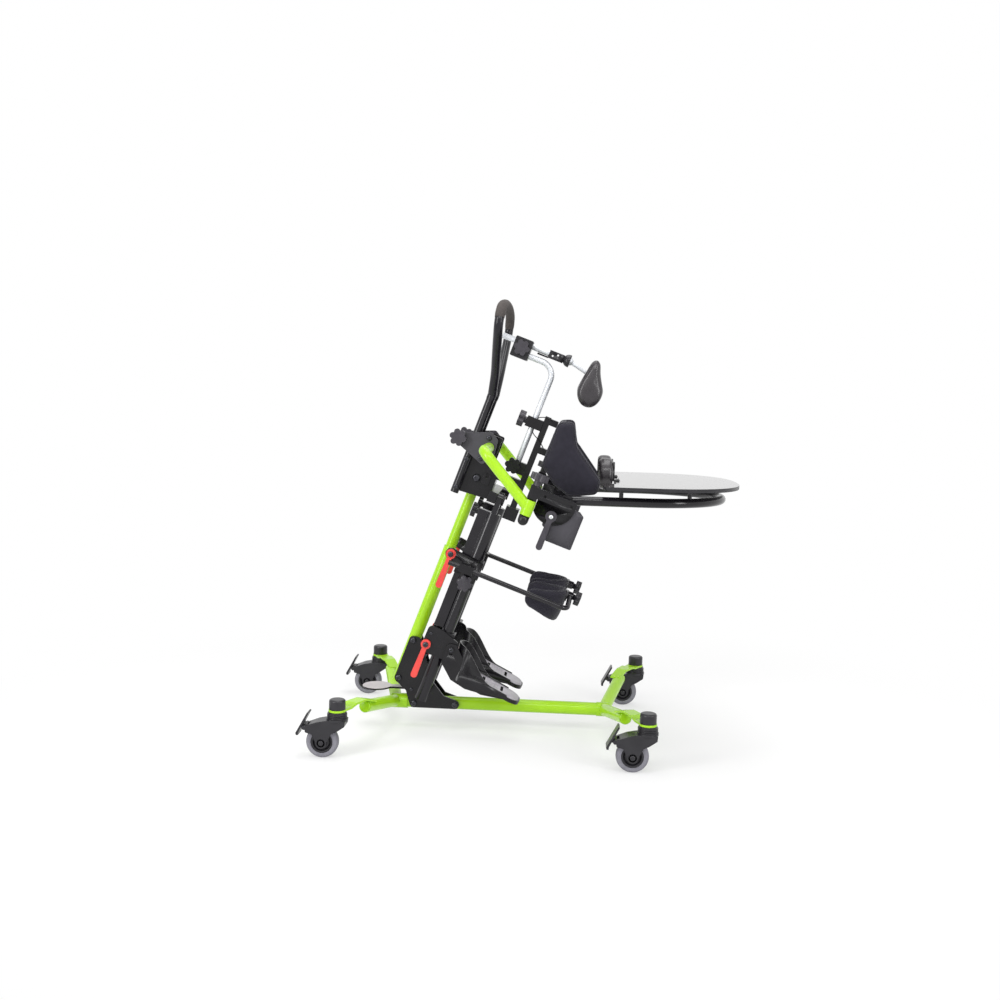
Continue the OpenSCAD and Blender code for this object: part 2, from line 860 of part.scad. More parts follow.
// A tube bent to a half circle at the front, with an ear at each end and pads up to the board
module tray_tube() {
    r = tray_tube_d / 2;
    start = hinge.x + 4;
    stands = [[bend_x - 55, 0], [bend_x, 32]];
    color(black) place()
        difference() {
            union() {
                translate([bend_x, 0, tray_tube_z])
                    rotate([0, 0, -90])
                        rotate_extrude(angle = 180)
                            translate([tray_leg_y, 0])
                                circle(r);
                both_sides() {
                    fore_bar([tray_leg_y, tray_tube_z], r, start, bend_x);
                    upright(ear_y, ear_y + ear_t) {
                        translate(hinge)
                            circle(14);
                        polygon([hinge + [-13, 5], [start, tray_tube_z + r], [start + 44, tray_tube_z + r],
                                 [start + 30, tray_tube_z - r], hinge + [13, -5]]);
                    }
                    for (s = stands)
                        translate([s[0] + tray_leg_y * sin(s[1]), tray_leg_y * cos(s[1]), tray_tube_z])
                            cylinder(r = 5, h = board_z - board_t - tray_tube_z);
                }
            }
            translate([bend_x, 0, tray_tube_z])
                rotate([0, 0, -90])
                    rotate_extrude(angle = 180)
                        translate([tray_leg_y, 0])
                            circle(r - tray_tube_wall);
            both_sides() {
                fore_bar([tray_leg_y, tray_tube_z], r - tray_tube_wall, start + 3, bend_x);
                cross_bar(hinge, tilt_r + fit, 0, arm_y);
            }
        }
}

// Rounded like a horseshoe ahead, with a shallow bay for the user's body
module tray_board() {
    seat_x = pad_back + plate_reach + 2;
    seat_y = 95;
    user_x = 237;
    bay_x = 268;
    bay_y = 170;
    side_x = 330;
    power = 2.6;
    arc = [
        for (a = [-90 : 6 : 90])
            [side_x + (board_tip - side_x) * pow(cos(a), 2 / power),
             sign(a) * board_w * pow(abs(sin(a)), 2 / power)],
    ];
    module outline() {
        difference() {
            union() {
                polygon(arc);
                translate([user_x + 20, -board_w])
                    square([side_x - user_x - 20, 2 * board_w]);
                translate([user_x, 20 - board_w])
                    square([30, 2 * board_w - 40]);
                for (s = [-1, 1])
                    translate([user_x + 20, s * (board_w - 20)])
                        circle(20);
            }
            translate([user_x - 1, -bay_y])
                square([bay_x - user_x + 1, 2 * bay_y]);
        }
    }
    color(black) place()
        difference() {
            translate([0, 0, board_z - board_t])
                linear_extrude(board_t)
                    outline();
            block([user_x, -seat_y, board_z - pad_seat], [seat_x, seat_y, board_z + 1]);
        }
}

// Round pads on the board's user edge, each on an angle plate
module chest_pads() {
    pad_r = 37.5;
    pad_h = 34;
    edge = 13;
    pad_y = 70;
    back = pad_back;
    mid = board_z + 16.5;
    foot = board_z - pad_seat + gap;
    color(black) place()
        both_sides()
            translate([0, pad_y, 0]) {
                translate([back - gap, 0, mid])
                    rotate([0, -90, 0])
                        rotate_extrude() {
                            square([pad_r - edge, pad_h]);
                            translate([0, edge])
                                square([pad_r, pad_h - 2 * edge]);
                            for (z = [edge, pad_h - edge])
                                translate([pad_r - edge, z])
                                    circle(edge);
                        }
                difference() {
                    union() {
                        block([back, -20, foot], [back + 4, 20, mid + 28]);
                        block([back, -20, foot], [back + plate_reach, 20, foot + 4]);
                    }
                    for (z = [mid - 4, mid + 8, mid + 20])
                        fore_bar([0, z], 3, back - 1, back + 5);
                }
            }
}

// Back and head

// A flat bar on a bracket from the head's front wall, with a receiver and a clamp for the head post
module trunk_bar() {
    foot = hip_u - 43;
    top = back_u + 54;
    half = 15;
    clamp = post_clamp;
    jaw_v = post_v - 18;
    wire_r = 1.1;
    wire_y = -half - 3.4;
    high_wire = [[84, -13, clamp[1] - 3], [88, wire_y, clamp[1] + 5], [bar_v + 4, wire_y, clamp[1] + 11],
                 [bar_v + 20, wire_y, clamp[1] + 8], [bar_v + 27, -14, clamp[1] + 3]];
    low_wire = [[84, -13, clamp[0] + 3], [87, wire_y, clamp[0] - 10], [bar_v + 7, wire_y, clamp[0] - 22],
                [bar_v + 22, wire_y, clamp[0] - 34], [bar_v + 28, -14, clamp[0] - 42]];
    color(black) leaning()
        difference() {
            union() {
                for (wire = [high_wire, low_wire])
                    swept(spline(wire, 3), wire_r, 8, [0, 1, 0]);
                block([bar_v, -half, foot], [bar_v + bar_t, half, top]);
                block([beam_v, -14, pivot_u + 11.5], [bar_v + 1, 14, pivot_u + 31]);
                block([bar_v - 8, -21, foot - 4], [bar_v + bar_t + 10, 21, foot + 28]);
                block([jaw_v, -14, receiver[0]], [bar_v + 1, 14, receiver[1]]);
                block([jaw_v, -16, clamp[0]], [bar_v + 1, 16, clamp[1]]);
                for (u = [back_u - 38, back_u + 36])
                    block([bar_v + bar_t - 1, -18, u], [pad_v - gap, 18, u + 16]);
                translate([post_v - 8, -14, receiver[0] + 16])
                    rotate([90, 0, 0])
                        knob(20, 13, 4, 1, 5);
            }
            translate([post_v, 0, receiver[0] - 1])
                cylinder(r = rod_d / 2 + fit, h = clamp[1] - receiver[0] + 2);
            fore_bar([0, clamp[0] + 13], 4 + fit, jaw_v - 1, jaw_v + 9);
        }
}

module post_knob() {
    jaw_v = post_v - 18;
    color(black) leaning()
        translate([jaw_v - gap, 0, post_clamp[0] + 13])
            rotate([0, -90, 0])
                knob(20, 15, 4, 8, 6);
}

// A crowned cushion face on a grid, whose sides draw in between its corners
module cushion(size, crown, draw_in, cells) {
    at = function (i) 2 * i / cells - 1;
    swell = function (a, b) crown * (1 - pow(abs(a), 4)) * (1 - pow(abs(b), 4));
    edge_x = function (a, b) a * (size.x / 2 - draw_in * (1 - b * b));
    edge_y = function (a, b) b * (size.y / 2 - draw_in * (1 - a * a));
    face = function (top) [
        for (i = [0 : cells])
            for (j = [0 : cells])
                let (a = at(i), b = at(j), rim = max(abs(a), abs(b)) == 1 ? 0.5 : 0.8)
                    [edge_x(a, b), edge_y(a, b),
                     (top ? 1 : -1) * (size.z / 2 - crown) * rim + (top ? 1 : -0.25) * swell(a, b)],
    ];
    n = (cells + 1) * (cells + 1);
    id = function (i, j) i * (cells + 1) + j;
    ring = concat([for (k = [0 : cells - 1]) id(k, 0)], [for (k = [0 : cells - 1]) id(cells, k)],
                  [for (k = [cells : -1 : 1]) id(k, cells)], [for (k = [cells : -1 : 1]) id(0, k)]);
    m = len(ring);
    quads = [
        for (i = [0 : cells - 1])
            for (j = [0 : cells - 1])
                [id(i, j), id(i + 1, j), id(i + 1, j + 1), id(i, j + 1)],
    ];
    faces = concat(
        [for (q = quads) each [[q[2], q[1], q[0]], [q[3], q[2], q[0]]]],
        [for (q = quads) each [[n + q[0], n + q[1], n + q[2]], [n + q[0], n + q[2], n + q[3]]]],
        [for (k = [0 : m - 1]) let (a = ring[k], b = ring[(k + 1) % m]) each [[a, b, n + b], [a, n + b, n + a]]]
    );
    polyhedron(concat(face(true), face(false)), faces);
}

module back_pad() {
    height = 126;
    crown = 9;
    color(navy) leaning()
        translate([pad_v + (back_t / 2 - crown) * 0.8 + crown * 0.25, 0, back_u])
            rotate([0, 90, 0])
                cushion([height, back_w, back_t], crown, 5, 14);
}

// Side cushions that reach round the hips, deeper below
module hip_wings() {
    edge = 14;
    module bead(v, u) {
        translate([pad_v + v, 0, back_u + u])
            scale([edge, wing_t / 2, edge])
                sphere(1, $fn = 18);
    }
    color(navy) leaning()
        both_sides()
            translate([0, back_w / 2 - 1 + wing_t / 2, 0]) {
                hull() {
                    bead(13, 47);
                    bead(29, 54);
                    bead(52, 10);
                    bead(13, -46);
                }
                hull() {
                    bead(52, 10);
                    bead(13, -46);
                    bead(49, -74);
                    bead(88, -85);
                    bead(134, -62);
                    bead(132, -44);
                }
            }
}

// A bright rod that rises from the trunk bar and bends back into the block
module head_post() {
    r = rod_d / 2;
    bend_u = post_u - post_bend;
    color(silver) leaning() {
        translate([post_v, 0, receiver[0]])
            cylinder(r = r, h = bend_u - receiver[0]);
        translate([post_v - post_bend, 0, bend_u])
            rotate([90, 0, 0])
                rotate_extrude(angle = 90)
                    translate([post_bend, 0])
                        circle(r);
        fore_bar([0, post_u], r, block_v[0] + 8, post_v - post_bend);
    }
}

module head_block() {
    half = 20;
    color(black) leaning()
        difference() {
            upright(-half, half)
                offset(r = 3)
                    polygon([[block_v[0] + 3, block_u[0] + 3], [block_v[1] - 3, block_u[0] + 3],
                             [block_v[1] - 3, block_u[1] - 3], [block_v[0] + 3, block_u[1] - 3]]);
            fore_bar([0, rod_u], rod_d / 2 + fit, block_v[0] - 1, block_v[1] + 1);
            fore_bar([0, post_u], rod_d / 2 + fit, block_v[0] - 1, block_v[1] + 1);
            cross_bar(block_knob_at, 4 + fit, -half - 1, -half + 12);
        }
}

module block_knob() {
    color(black) leaning()
        translate([block_knob_at.x, -20 - gap, block_knob_at.y])
            rotate([90, 0, 0])
                knob(20, 13, 4, 11, 3);
}

// The sliding rod, the drilled link on its end and the cup that holds the ball
module head_rod() {
    link = [52, 90];
    tab = [25, rod_u - rod_d / 2 - 5];
    color(silver) leaning() {
        difference() {
            union() {
                fore_bar([0, rod_u], rod_d / 2, -71, link[0] + 1);
                block([link[0], -9, rod_u - 11], [link[1], 9, rod_u + 9]);
                block([tab.x, -6, tab.y], [link[0] + 1, 6, tab.y + 4]);
                intersection() {
                    translate([ball_v, 0, rod_u])
                        sphere(r = ball_r + 4.5);
                    block([80, -30, rod_u - 30], [ball_v + 3, 30, rod_u + 30]);
                }
            }
            translate([ball_v, 0, rod_u])
                sphere(r = ball_r + fit);
            for (at = [[62, rod_u - 3], [74, rod_u + 3]])
                cross_bar(at, 2.5, -10, 10);
        }
        cross_bar([ball_v, rod_u], nod_r, -ball_r - 4, ball_r + 4);
    }
}

// A thick moulded pad, narrow above, with its stem and ball
module head_pad() {
    ball = [mast_foot_x + rod_u * sin(lean) + ball_v * cos(lean), rod_u * cos(lean) - ball_v * sin(lean)];
    crest = ball + [69, -2.8];
    belly = ball + [52, -81.8];
    place() {
        color(silver)
            difference() {
                union() {
                    translate([ball.x, 0, ball.y])
                        sphere(r = ball_r);
                    bar_between([ball.x, 0, ball.y], [ball.x + 47, 0, ball.y - 30], 4.5);
                }
                cross_bar(ball, nod_r + fit, -ball_r - 1, ball_r + 1);
            }
        color(black)
            hull()
                for (s = [-1, 1]) {
                    translate([crest.x, s * 42, crest.y])
                        sphere(r = 7, $fn = 20);
                    translate([belly.x, s * 52, belly.y])
                        scale([1, 1.1, 1.04])
                            sphere(r = 32, $fn = 28);
                }
    }
}

// Legs, drawn for the left leg: y is outwards from the leg tube

// A leg tube with its upper sleeve, hip lug and the rail behind it
module leg_post(side) {
    color(black) on_leg(side)
        difference() {
            union() {
                translate([leg_v, 0, leg_foot])
                    cylinder(d = leg_d, h = leg_top - leg_foot - 1);
                translate([leg_v, 0, sleeve_foot_u])
                    cylinder(d = leg_sleeve_d, h = leg_top - sleeve_foot_u);
                block([lug_v, -16, leg_top - 28], [lug_v + lug_t, 16, hip_u]);
                fore_bar([0, hip_u], 16, lug_v, lug_v + lug_t);
                block([leg_v - leg_d / 2 - rail_w, -rail_w / 2, rail_foot],
                      [leg_v - leg_d / 2 + 2, rail_w / 2, leg_top]);
                translate([leg_v - leg_d / 2 - rail_w, 0, 609])
                    rotate([0, -90, 0])
                        knob(18, 11, 4, 1, 6);
            }
            translate([leg_v, 0, leg_foot - 1])
                cylinder(r = leg_d / 2 - leg_wall, h = leg_top - leg_foot - 30);
            fore_bar([0, hip_u], pivot_r + fit, lug_v - 1, lug_v + lug_t + 1);
        }
}

// Outline of a clamp round the leg tube and its rail
module clamp_section() {
    difference() {
        translate([leg_v - leg_d / 2 - rail_w - 2, -clamp_y])
            square([leg_d + rail_w + 9, 2 * clamp_y]);
        translate([leg_v, 0])
            circle(leg_d / 2 + fit);
        translate([leg_v - leg_d / 2 - rail_w - 3, -rail_w / 2 - gap])
            square([rail_w + 6, rail_w + 2 * gap]);
    }
}

// A clamp with an arm for its lever, a cross bar and a holder for the knee rod, and a grip knob below
module knee_clamp(side) {
    top = sleeve_foot_u - 3;
    foot = knee_u - 28;
    heel = foot - 28;
    holder = [45, 80];
    color(black) on_leg(side)
        difference() {
            union() {
                translate([0, 0, foot])
                    linear_extrude(top - foot)
                        clamp_section();
                upright(clamp_y, clamp_y + 5) {
                    translate(knee_lever_at)
                        circle(14);
                    polygon([knee_lever_at + [-2, 14], [leg_v + 18, top], [leg_v + 18, heel], [leg_v - 20, heel],
                             [leg_v - 22, foot + 16], knee_lever_at + [0, -14]]);
                }
                block([56, clamp_y - 1, knee_u - 8], [71, knee_rod_y, knee_u + 8]);
                block([holder[0], knee_rod_y - 10, knee_u - 10], [holder[1], knee_rod_y + 10, knee_u + 10]);
                cross_bar(knee_lever_at, lever_pin_r, clamp_y, clamp_y + 15);
                translate([leg_v - 3, clamp_y + 5, heel + 14])
                    rotate([-90, 0, 0])
                        knob(20, 13, 4, 1, 4);
            }
            fore_bar([knee_rod_y, knee_u], knee_rod_d / 2 + fit, holder[0] - 1, holder[1] + 1);
        }
}

// A red flat lever on a pin, hanging along the leg
module clamp_lever(side, at) {
    inner = clamp_y + 5 + gap;
    color(red) on_leg(side)
        difference() {
            union() {
                upright(inner, inner + 7)
                    translate(at)
                        lever_outline(88, 12, 5.5, 8);
                cross_bar(at, 9, inner, inner + 9);
            }
            cross_bar(at, lever_pin_r + fit, 0, inner + 20);
        }
}

module knee_lever(side) clamp_lever(side, knee_lever_at);

module foot_lever(side) clamp_lever(side, foot_lever_at);

// A rod past the knee that turns in and up to an eye in front of the pad
module knee_rod(side) {
    r = knee_rod_d / 2;
    bend = 18;
    rise = atan2(eye.y - knee_u, knee_rod_y);
    span = norm([knee_rod_y, eye.y - knee_u]);
    color(black) leaning() translate([0, side * leg_y, 0])
        difference() {
            union() {
                fore_bar([side * knee_rod_y, knee_u], r, 18, eye.x - bend);
                translate([eye.x - bend, side * knee_rod_y, knee_u])
                    rotate([-side * rise, 0, 0]) {
                        translate([0, -side * bend, 0])
                            rotate(side > 0 ? 0 : -90)
                                rotate_extrude(angle = 90)
                                    translate([bend, 0])
                                        circle(r);
                        translate([bend, -side * bend, 0])
                            rotate([side * 90, 0, 0])
                                cylinder(r = r, h = span - bend - 7);
                    }
                fore_bar([0, eye.y], 10, eye.x - 6, eye.x + 6);
            }
            fore_bar([0, eye.y], 5 + fit, eye.x - 7, eye.x + 7);
        }
}

// A padded cup open towards the knee, with the plate, shaft and knob that hold it to the rod's eye
module knee_pad(side) {
    half = 49;
    front = 299;
    thick = 10.5;
    mid = knee_u - 9;
    path = [[214, half, 22], [250, half, 29], [281, 40, 37], [front, 15, 42],
            [front, -15, 42], [281, -40, 37], [250, -half, 29], [214, -half, 22]];
    module bead(p) {
        translate([p[0], p[1], mid])
            scale([thick, thick, p[2]])
                sphere(1, $fn = 14);
    }
    on_leg(side) {
        color(navy)
            for (i = [0 : len(path) - 2])
                hull() {
                    bead(path[i]);
                    bead(path[i + 1]);
                }
        color(silver) {
            block([front + thick - 4, -14, eye.y - 14], [eye.x - 6 - gap, 14, eye.y + 10]);
            fore_bar([0, eye.y], 5, eye.x - 7, eye.x + 12);
        }
        color(black)
            translate([eye.x + 6 + gap, 0, eye.y])
                rotate([0, 90, 0])
                    knob(17, 13, 5, 1, 6);
    }
}

// A clamp on the leg tube with a plate outside it and the ankle's pin
module foot_bracket(side) {
    foot = 241;
    top = 306;
    plate_out_y = clamp_y + 5;
    color(black) on_leg(side)
        difference() {
            union() {
                translate([0, 0, foot])
                    linear_extrude(top - foot)
                        clamp_section();
                upright(clamp_y, plate_out_y)
                    offset(r = 12)
                        polygon([[foot_lever_at.x + 2, foot + 12], [leg_v + 12, foot + 12], [ankle.x + 4, ankle.y - 4],
                                 [ankle.x, ankle.y + 12], [leg_v - 12, top - 10], [foot_lever_at.x + 3, top - 8]]);
                cross_bar(foot_lever_at, lever_pin_r, clamp_y, clamp_y + 15);
                cross_bar(ankle, ankle_r, clamp_y, clamp_y + 11);
                cross_bar(ankle, 8, clamp_y + 10 + gap, clamp_y + 13);
            }
            translate([leg_v, 0, foot - 1])
                cylinder(r = leg_d / 2 + fit, h = top - foot + 2);
        }
}

// Plan of the sole, pointing ahead, with its heel at zero
module sole_plan(inset) {
    heel_r = sole_w / 2 - inset;
    toe_r = 30 - inset;
    translate([sole_w / 2, 0])
        circle(heel_r);
    for (s = [-1, 1])
        translate([sole_l - 30, s * (sole_w / 2 - 30)])
            circle(toe_r);
    translate([sole_w / 2, -sole_w / 2 + inset])
        square([sole_l - sole_w / 2 - 30, sole_w - 2 * inset]);
    translate([sole_l / 2, -sole_w / 2 + 30])
        square([sole_l / 2 - inset, sole_w - 60]);
}

// Points of a heel cup's wall: its foot and its top, outside and inside, along the heel's round
function cup_rings(plan, wall, high, rake) = [
    for (p = plan)
        let (out = p[1], h = high(p[0].x))
            each [[p[0].x, p[0].y, -1], [p[0].x - rake * h, p[0].y, h],
                  [p[0].x - rake * h - wall * out.x, p[0].y - wall * out.y, h],
                  [p[0].x - wall * out.x, p[0].y - wall * out.y, -1]],
];

module heel_cup(plan, wall, high, rake) {
    n = len(plan);
    sides = [
        for (i = [0 : n - 2])
            for (k = [0 : 3])
                let (a = i * 4 + k, b = i * 4 + (k + 1) % 4)
                    each [[a, b, a + 4], [b, b + 4, a + 4]],
    ];
    polyhedron(cup_rings(plan, wall, high, rake),
               concat(sides, [[0, 3, 2, 1], [for (k = [0 : 3]) (n - 1) * 4 + k]]));
}

// A sole with a deep heel cup that falls to a low rim, a skirt below, a broad arm up to the ankle,
// and a slotted grey insert
module foot_plate(side) {
    wall = 4;
    inset = 0.2;
    cup_h = 58;
    rim_h = 4;
    cup_end = 104;
    rake = 0.25;
    skirt_h = 26;
    toe = 36;
    mid_y = -6;
    arm_in = clamp_y + 5 + gap;
    arm_t = 4.7;
    slots = [79, 129];
    slot = [7, 40];
    heel_r = sole_w / 2;
    cup_r = heel_r - inset;
    fall = function (t) t * t * (3 - 2 * t);
    high = function (x) rim_h - inset + (cup_h - rim_h) * fall(min(1, (cup_end - x) / (cup_end - 14)));
    run = [cup_end, 95, 86, 77, 68, 59, 50];
    plan = concat(
        [for (x = run) [[x, cup_r], [0, 1]]],
        [for (a = [90 : 15 : 270]) [[heel_r + cup_r * cos(a), cup_r * sin(a)], [cos(a), sin(a)]]],
        [for (i = [len(run) - 1 : -1 : 0]) [[run[i], -cup_r], [0, -1]]]
    );
    rim_view = [[cup_end - 14, -1], [cup_end - 14, rim_h], [sole_l - toe, rim_h], [sole_l - toe + 4, -1]];
    skirt_view = [[-1, 1 - sole_t], [-1, -skirt_h], [sole_l / 2, -skirt_h], [sole_l - toe, 1 - sole_t]];
    module at_sole() {
        translate([sole_at.x, mid_y, sole_at.y])
            rotate([0, sole_pitch, 0])
                children();
    }
    module slot_cuts(lo, hi) {
        for (x = slots)
            translate([x, -slot.y / 2, lo])
                cube([slot.x, slot.y, hi - lo]);
    }
    on_leg(side) {
        color(black)
            difference() {
                union() {
                    at_sole() {
                        translate([0, 0, -sole_t])
                            linear_extrude(sole_t)
                                sole_plan(0);
                        intersection() {
                            translate([0, 0, -cup_h])
                                linear_extrude(2 * cup_h)
                                    difference() {
                                        sole_plan(0);
                                        sole_plan(wall);
                                    }
                            upright(-sole_w, sole_w) {
                                polygon(rim_view);
                                polygon(skirt_view);
                            }
                        }
                        heel_cup(plan, wall - 2 * inset, high, rake);
                        translate([122, 0, -sole_t - 9])
                            cylinder(r = 12, h = 10);
                    }
                    upright(arm_in, arm_in + arm_t) {
                        translate(ankle)
                            circle(15);
                        polygon([ankle + [-13, -8], ankle + [-6, 13.5], ankle + [8, 16], [192, 206], [194, 198],
                                 [164, 195], [124, 203], [88, 234]]);
                    }
                }
                cross_bar(ankle, ankle_r + fit, 0, 60);
                at_sole()
                    slot_cuts(-sole_t - 12, 28);
            }
        color(grey)
            at_sole()
                difference() {
                    linear_extrude(2.4)
                        sole_plan(wall + gap);
                    slot_cuts(-1, 9);
                    for (i = [0 : 4])
                        translate([slots[0] + slot.x + 5 + i * 7, -22, 1.2])
                            cube([3, 44, 3]);
                }
    }
}

base_spine();
rear_legs();
front_legs();
caster_caps();
base_plates();
plate_bolts();
mast_sleeve();
foot_pedal();
caster_fork(-1, -1);  // caster_fork_rear_right
caster_fork(-1, 1);  // caster_fork_rear_left
caster_fork(1, -1);  // caster_fork_front_right
caster_fork(1, 1);  // caster_fork_front_left
caster_wheel(-1, -1);  // caster_wheel_rear_right
caster_wheel(-1, 1);  // caster_wheel_rear_left
caster_wheel(1, -1);  // caster_wheel_front_right
caster_wheel(1, 1);  // caster_wheel_front_left
caster_brake(-1, -1);  // caster_brake_rear_right
caster_brake(-1, 1);  // caster_brake_rear_left
caster_brake(1, -1);  // caster_brake_front_right
caster_brake(1, 1);  // caster_brake_front_left
mast_tube();
head_frame();
side_plates();
push_handle();
handle_grip();
star_knobs();
tray_arms();
tray_brackets();
tray_knob(-1);  // tray_knob_right
tray_knob(1);  // tray_knob_left
tray_lever(-1);  // tray_lever_right
tray_lever(1);  // tray_lever_left
tray_tube();
tray_board();
chest_pads();
trunk_bar();
back_pad();
hip_wings();
head_post();
head_block();
head_rod();
head_pad();
post_knob();
block_knob();
leg_post(-1);  // leg_post_right
leg_post(1);  // leg_post_left
knee_clamp(-1);  // knee_clamp_right
knee_clamp(1);  // knee_clamp_left
knee_lever(-1);  // knee_lever_right
knee_lever(1);  // knee_lever_left
knee_rod(-1);  // knee_rod_right
knee_rod(1);  // knee_rod_left
knee_pad(-1);  // knee_pad_right
knee_pad(1);  // knee_pad_left
foot_bracket(-1);  // foot_bracket_right
foot_bracket(1);  // foot_bracket_left
foot_lever(-1);  // foot_lever_right
foot_lever(1);  // foot_lever_left
foot_plate(-1);  // foot_plate_right
foot_plate(1);  // foot_plate_left
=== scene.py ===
import math

import bmesh
import bpy
import numpy as np
from mathutils import Matrix, Vector
from mathutils.bvhtree import BVHTree
from mathutils.kdtree import KDTree


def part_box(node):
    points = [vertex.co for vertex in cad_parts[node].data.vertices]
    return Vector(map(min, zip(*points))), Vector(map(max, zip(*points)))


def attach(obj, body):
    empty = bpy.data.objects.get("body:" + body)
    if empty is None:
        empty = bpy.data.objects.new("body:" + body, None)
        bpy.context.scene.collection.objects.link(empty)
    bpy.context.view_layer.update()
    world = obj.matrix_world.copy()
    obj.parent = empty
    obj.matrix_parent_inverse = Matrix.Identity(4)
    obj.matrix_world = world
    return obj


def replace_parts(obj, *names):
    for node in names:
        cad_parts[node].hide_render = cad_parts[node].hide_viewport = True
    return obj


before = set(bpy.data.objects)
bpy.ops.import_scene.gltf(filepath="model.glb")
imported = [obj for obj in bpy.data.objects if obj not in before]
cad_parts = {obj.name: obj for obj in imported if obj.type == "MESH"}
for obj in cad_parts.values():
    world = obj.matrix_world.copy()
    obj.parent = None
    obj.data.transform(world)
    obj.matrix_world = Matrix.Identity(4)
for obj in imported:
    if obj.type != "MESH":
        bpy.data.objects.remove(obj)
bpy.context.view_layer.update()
scene = bpy.context.scene

# Studio: a pale floor that runs into a white backdrop, tall soft panels left and right,
# a wide one in front and a broad one above, and a camera on the object's right side,
# a little above the tray.


def linear(code):
    """An sRGB hex colour as the linear colour that a socket takes."""
    parts = [int(code[i : i + 2], 16) / 255 for i in (1, 3, 5)]
    return [c / 12.92 if c <= 0.04045 else ((c + 0.055) / 1.055) ** 2.4 for c in parts] + [1.0]


def add_node(tree, kind, values=None, links=None, **settings):
    """A node with its settings, the values of its sockets and the sockets that feed it."""
    made = tree.nodes.new(kind)
    for name, value in settings.items():
        setattr(made, name, value)
    for socket, value in (values or {}).items():
        made.inputs[socket].default_value = value
    for socket, source in (links or {}).items():
        tree.links.new(source, made.inputs[socket])
    return made


def seen_rays(tree):
    """A socket that is 1 for the rays that show a thing: straight, by its shine or through it."""
    path = add_node(tree, "ShaderNodeLightPath")
    seen = add_node(tree, "ShaderNodeMath", operation="MAXIMUM",
                    links={0: path.outputs["Is Camera Ray"], 1: path.outputs["Is Glossy Ray"]})
    seen = add_node(tree, "ShaderNodeMath", operation="MAXIMUM",
                    links={0: seen.outputs[0], 1: path.outputs["Is Transmission Ray"]})
    return seen.outputs[0]


camera_at, lens, sensor_w, nearest = (0.11405, -2.736, 0.835), 39.888, 36, 0.05
yaw, pitch, roll = (math.radians(a) for a in (-3.87, 5.29, 1.52))
ahead = Vector((math.sin(yaw) * math.cos(pitch), math.cos(yaw) * math.cos(pitch),
                -math.sin(pitch)))
level = Vector((math.cos(yaw), -math.sin(yaw), 0))
upward = level.cross(ahead)
camera = bpy.data.objects.new("camera", bpy.data.cameras.new("camera"))
camera.data.sensor_fit = "HORIZONTAL"
camera.data.sensor_width = sensor_w
camera.data.lens = lens
camera.data.clip_start = nearest
turn = Matrix((level * math.cos(roll) + upward * math.sin(roll),
               upward * math.cos(roll) - level * math.sin(roll), -ahead)).transposed()
camera.matrix_world = Matrix.Translation(camera_at) @ turn.to_4x4()
scene.collection.objects.link(camera)
scene.camera = camera
scene.view_settings.view_transform = "Standard"

fill_strength = 0.46
world = bpy.data.worlds.new("white_backdrop")
world.use_nodes = True
scene.world = world
tree = world.node_tree
tree.nodes.clear()
seen = seen_rays(tree)
fill = add_node(tree, "ShaderNodeBackground", {"Color": (1, 1, 1, 1), "Strength": fill_strength})
white = add_node(tree, "ShaderNodeBackground", {"Color": (1, 1, 1, 1), "Strength": 1.0})
either = add_node(tree, "ShaderNodeMixShader",
                  links={0: seen, 1: fill.outputs[0], 2: white.outputs[0]})
add_node(tree, "ShaderNodeOutputWorld", links={"Surface": either.outputs[0]})

lit_place = Vector((0.05, 0, 0.45))
for name, place, size, power in (("panel_left", (-2.1, -2.1, 1.5), (0.8, 2.2), 46),
                                 ("panel_right", (2.4, -1.8, 1.4), (0.6, 2.0), 28),
                                 ("panel_front", (0.2, -2.5, 2.5), (2.4, 0.45), 24),
                                 ("panel_above", (0.1, 0.2, 3.2), (2.2, 2.2), 52)):
    lamp = bpy.data.lights.new(name, "AREA")
    lamp.shape, lamp.size, lamp.size_y, lamp.energy = "RECTANGLE", size[0], size[1], power
    panel = bpy.data.objects.new(name, lamp)
    panel.location = place
    panel.rotation_euler = (lit_place - Vector(place)).to_track_quat("-Z", "Y").to_euler()
    scene.collection.objects.link(panel)

# Backdrop paper: matt white, lifted to full white away from the object so that no edge shows
floor_half, fade_from, fade_to, near_white = 9, 0.62, 1.5, 0.52
floor_mesh = bpy.data.meshes.new("floor")
floor_mesh.from_pydata([(x * floor_half, y * floor_half, 0)
                        for x, y in ((-1, -1), (1, -1), (1, 1), (-1, 1))], [], [(0, 1, 2, 3)])
floor = bpy.data.objects.new("floor", floor_mesh)
scene.collection.objects.link(floor)
paper = bpy.data.materials.new("white backdrop paper")
paper.use_nodes = True
tree = paper.node_tree
tree.nodes.clear()
where = add_node(tree, "ShaderNodeTexCoord")
reach = add_node(tree, "ShaderNodeVectorMath", operation="LENGTH",
                 links={0: where.outputs["Object"]})
fade = add_node(tree, "ShaderNodeMapRange",
                {"From Min": fade_from, "From Max": fade_to, "To Min": near_white},
                {"Value": reach.outputs["Value"]}, interpolation_type="SMOOTHSTEP")
seen = seen_rays(tree)
lift = add_node(tree, "ShaderNodeMath", operation="MULTIPLY", links={0: fade.outputs[0], 1: seen})
matt = add_node(tree, "ShaderNodeBsdfDiffuse", {"Color": (0.93, 0.93, 0.93, 1)})
white = add_node(tree, "ShaderNodeEmission", {"Color": (1, 1, 1, 1), "Strength": 1.0})
either = add_node(tree, "ShaderNodeMixShader",
                  links={0: lift.outputs[0], 1: matt.outputs[0], 2: white.outputs[0]})
add_node(tree, "ShaderNodeOutputMaterial", links={"Surface": either.outputs[0]})
floor_mesh.materials.append(paper)

# Base and column: round steel tubes, welded at the sockets and powder-coated lime green.
# The column's sleeve is bolted between two plates, and the inner tube slides in it.


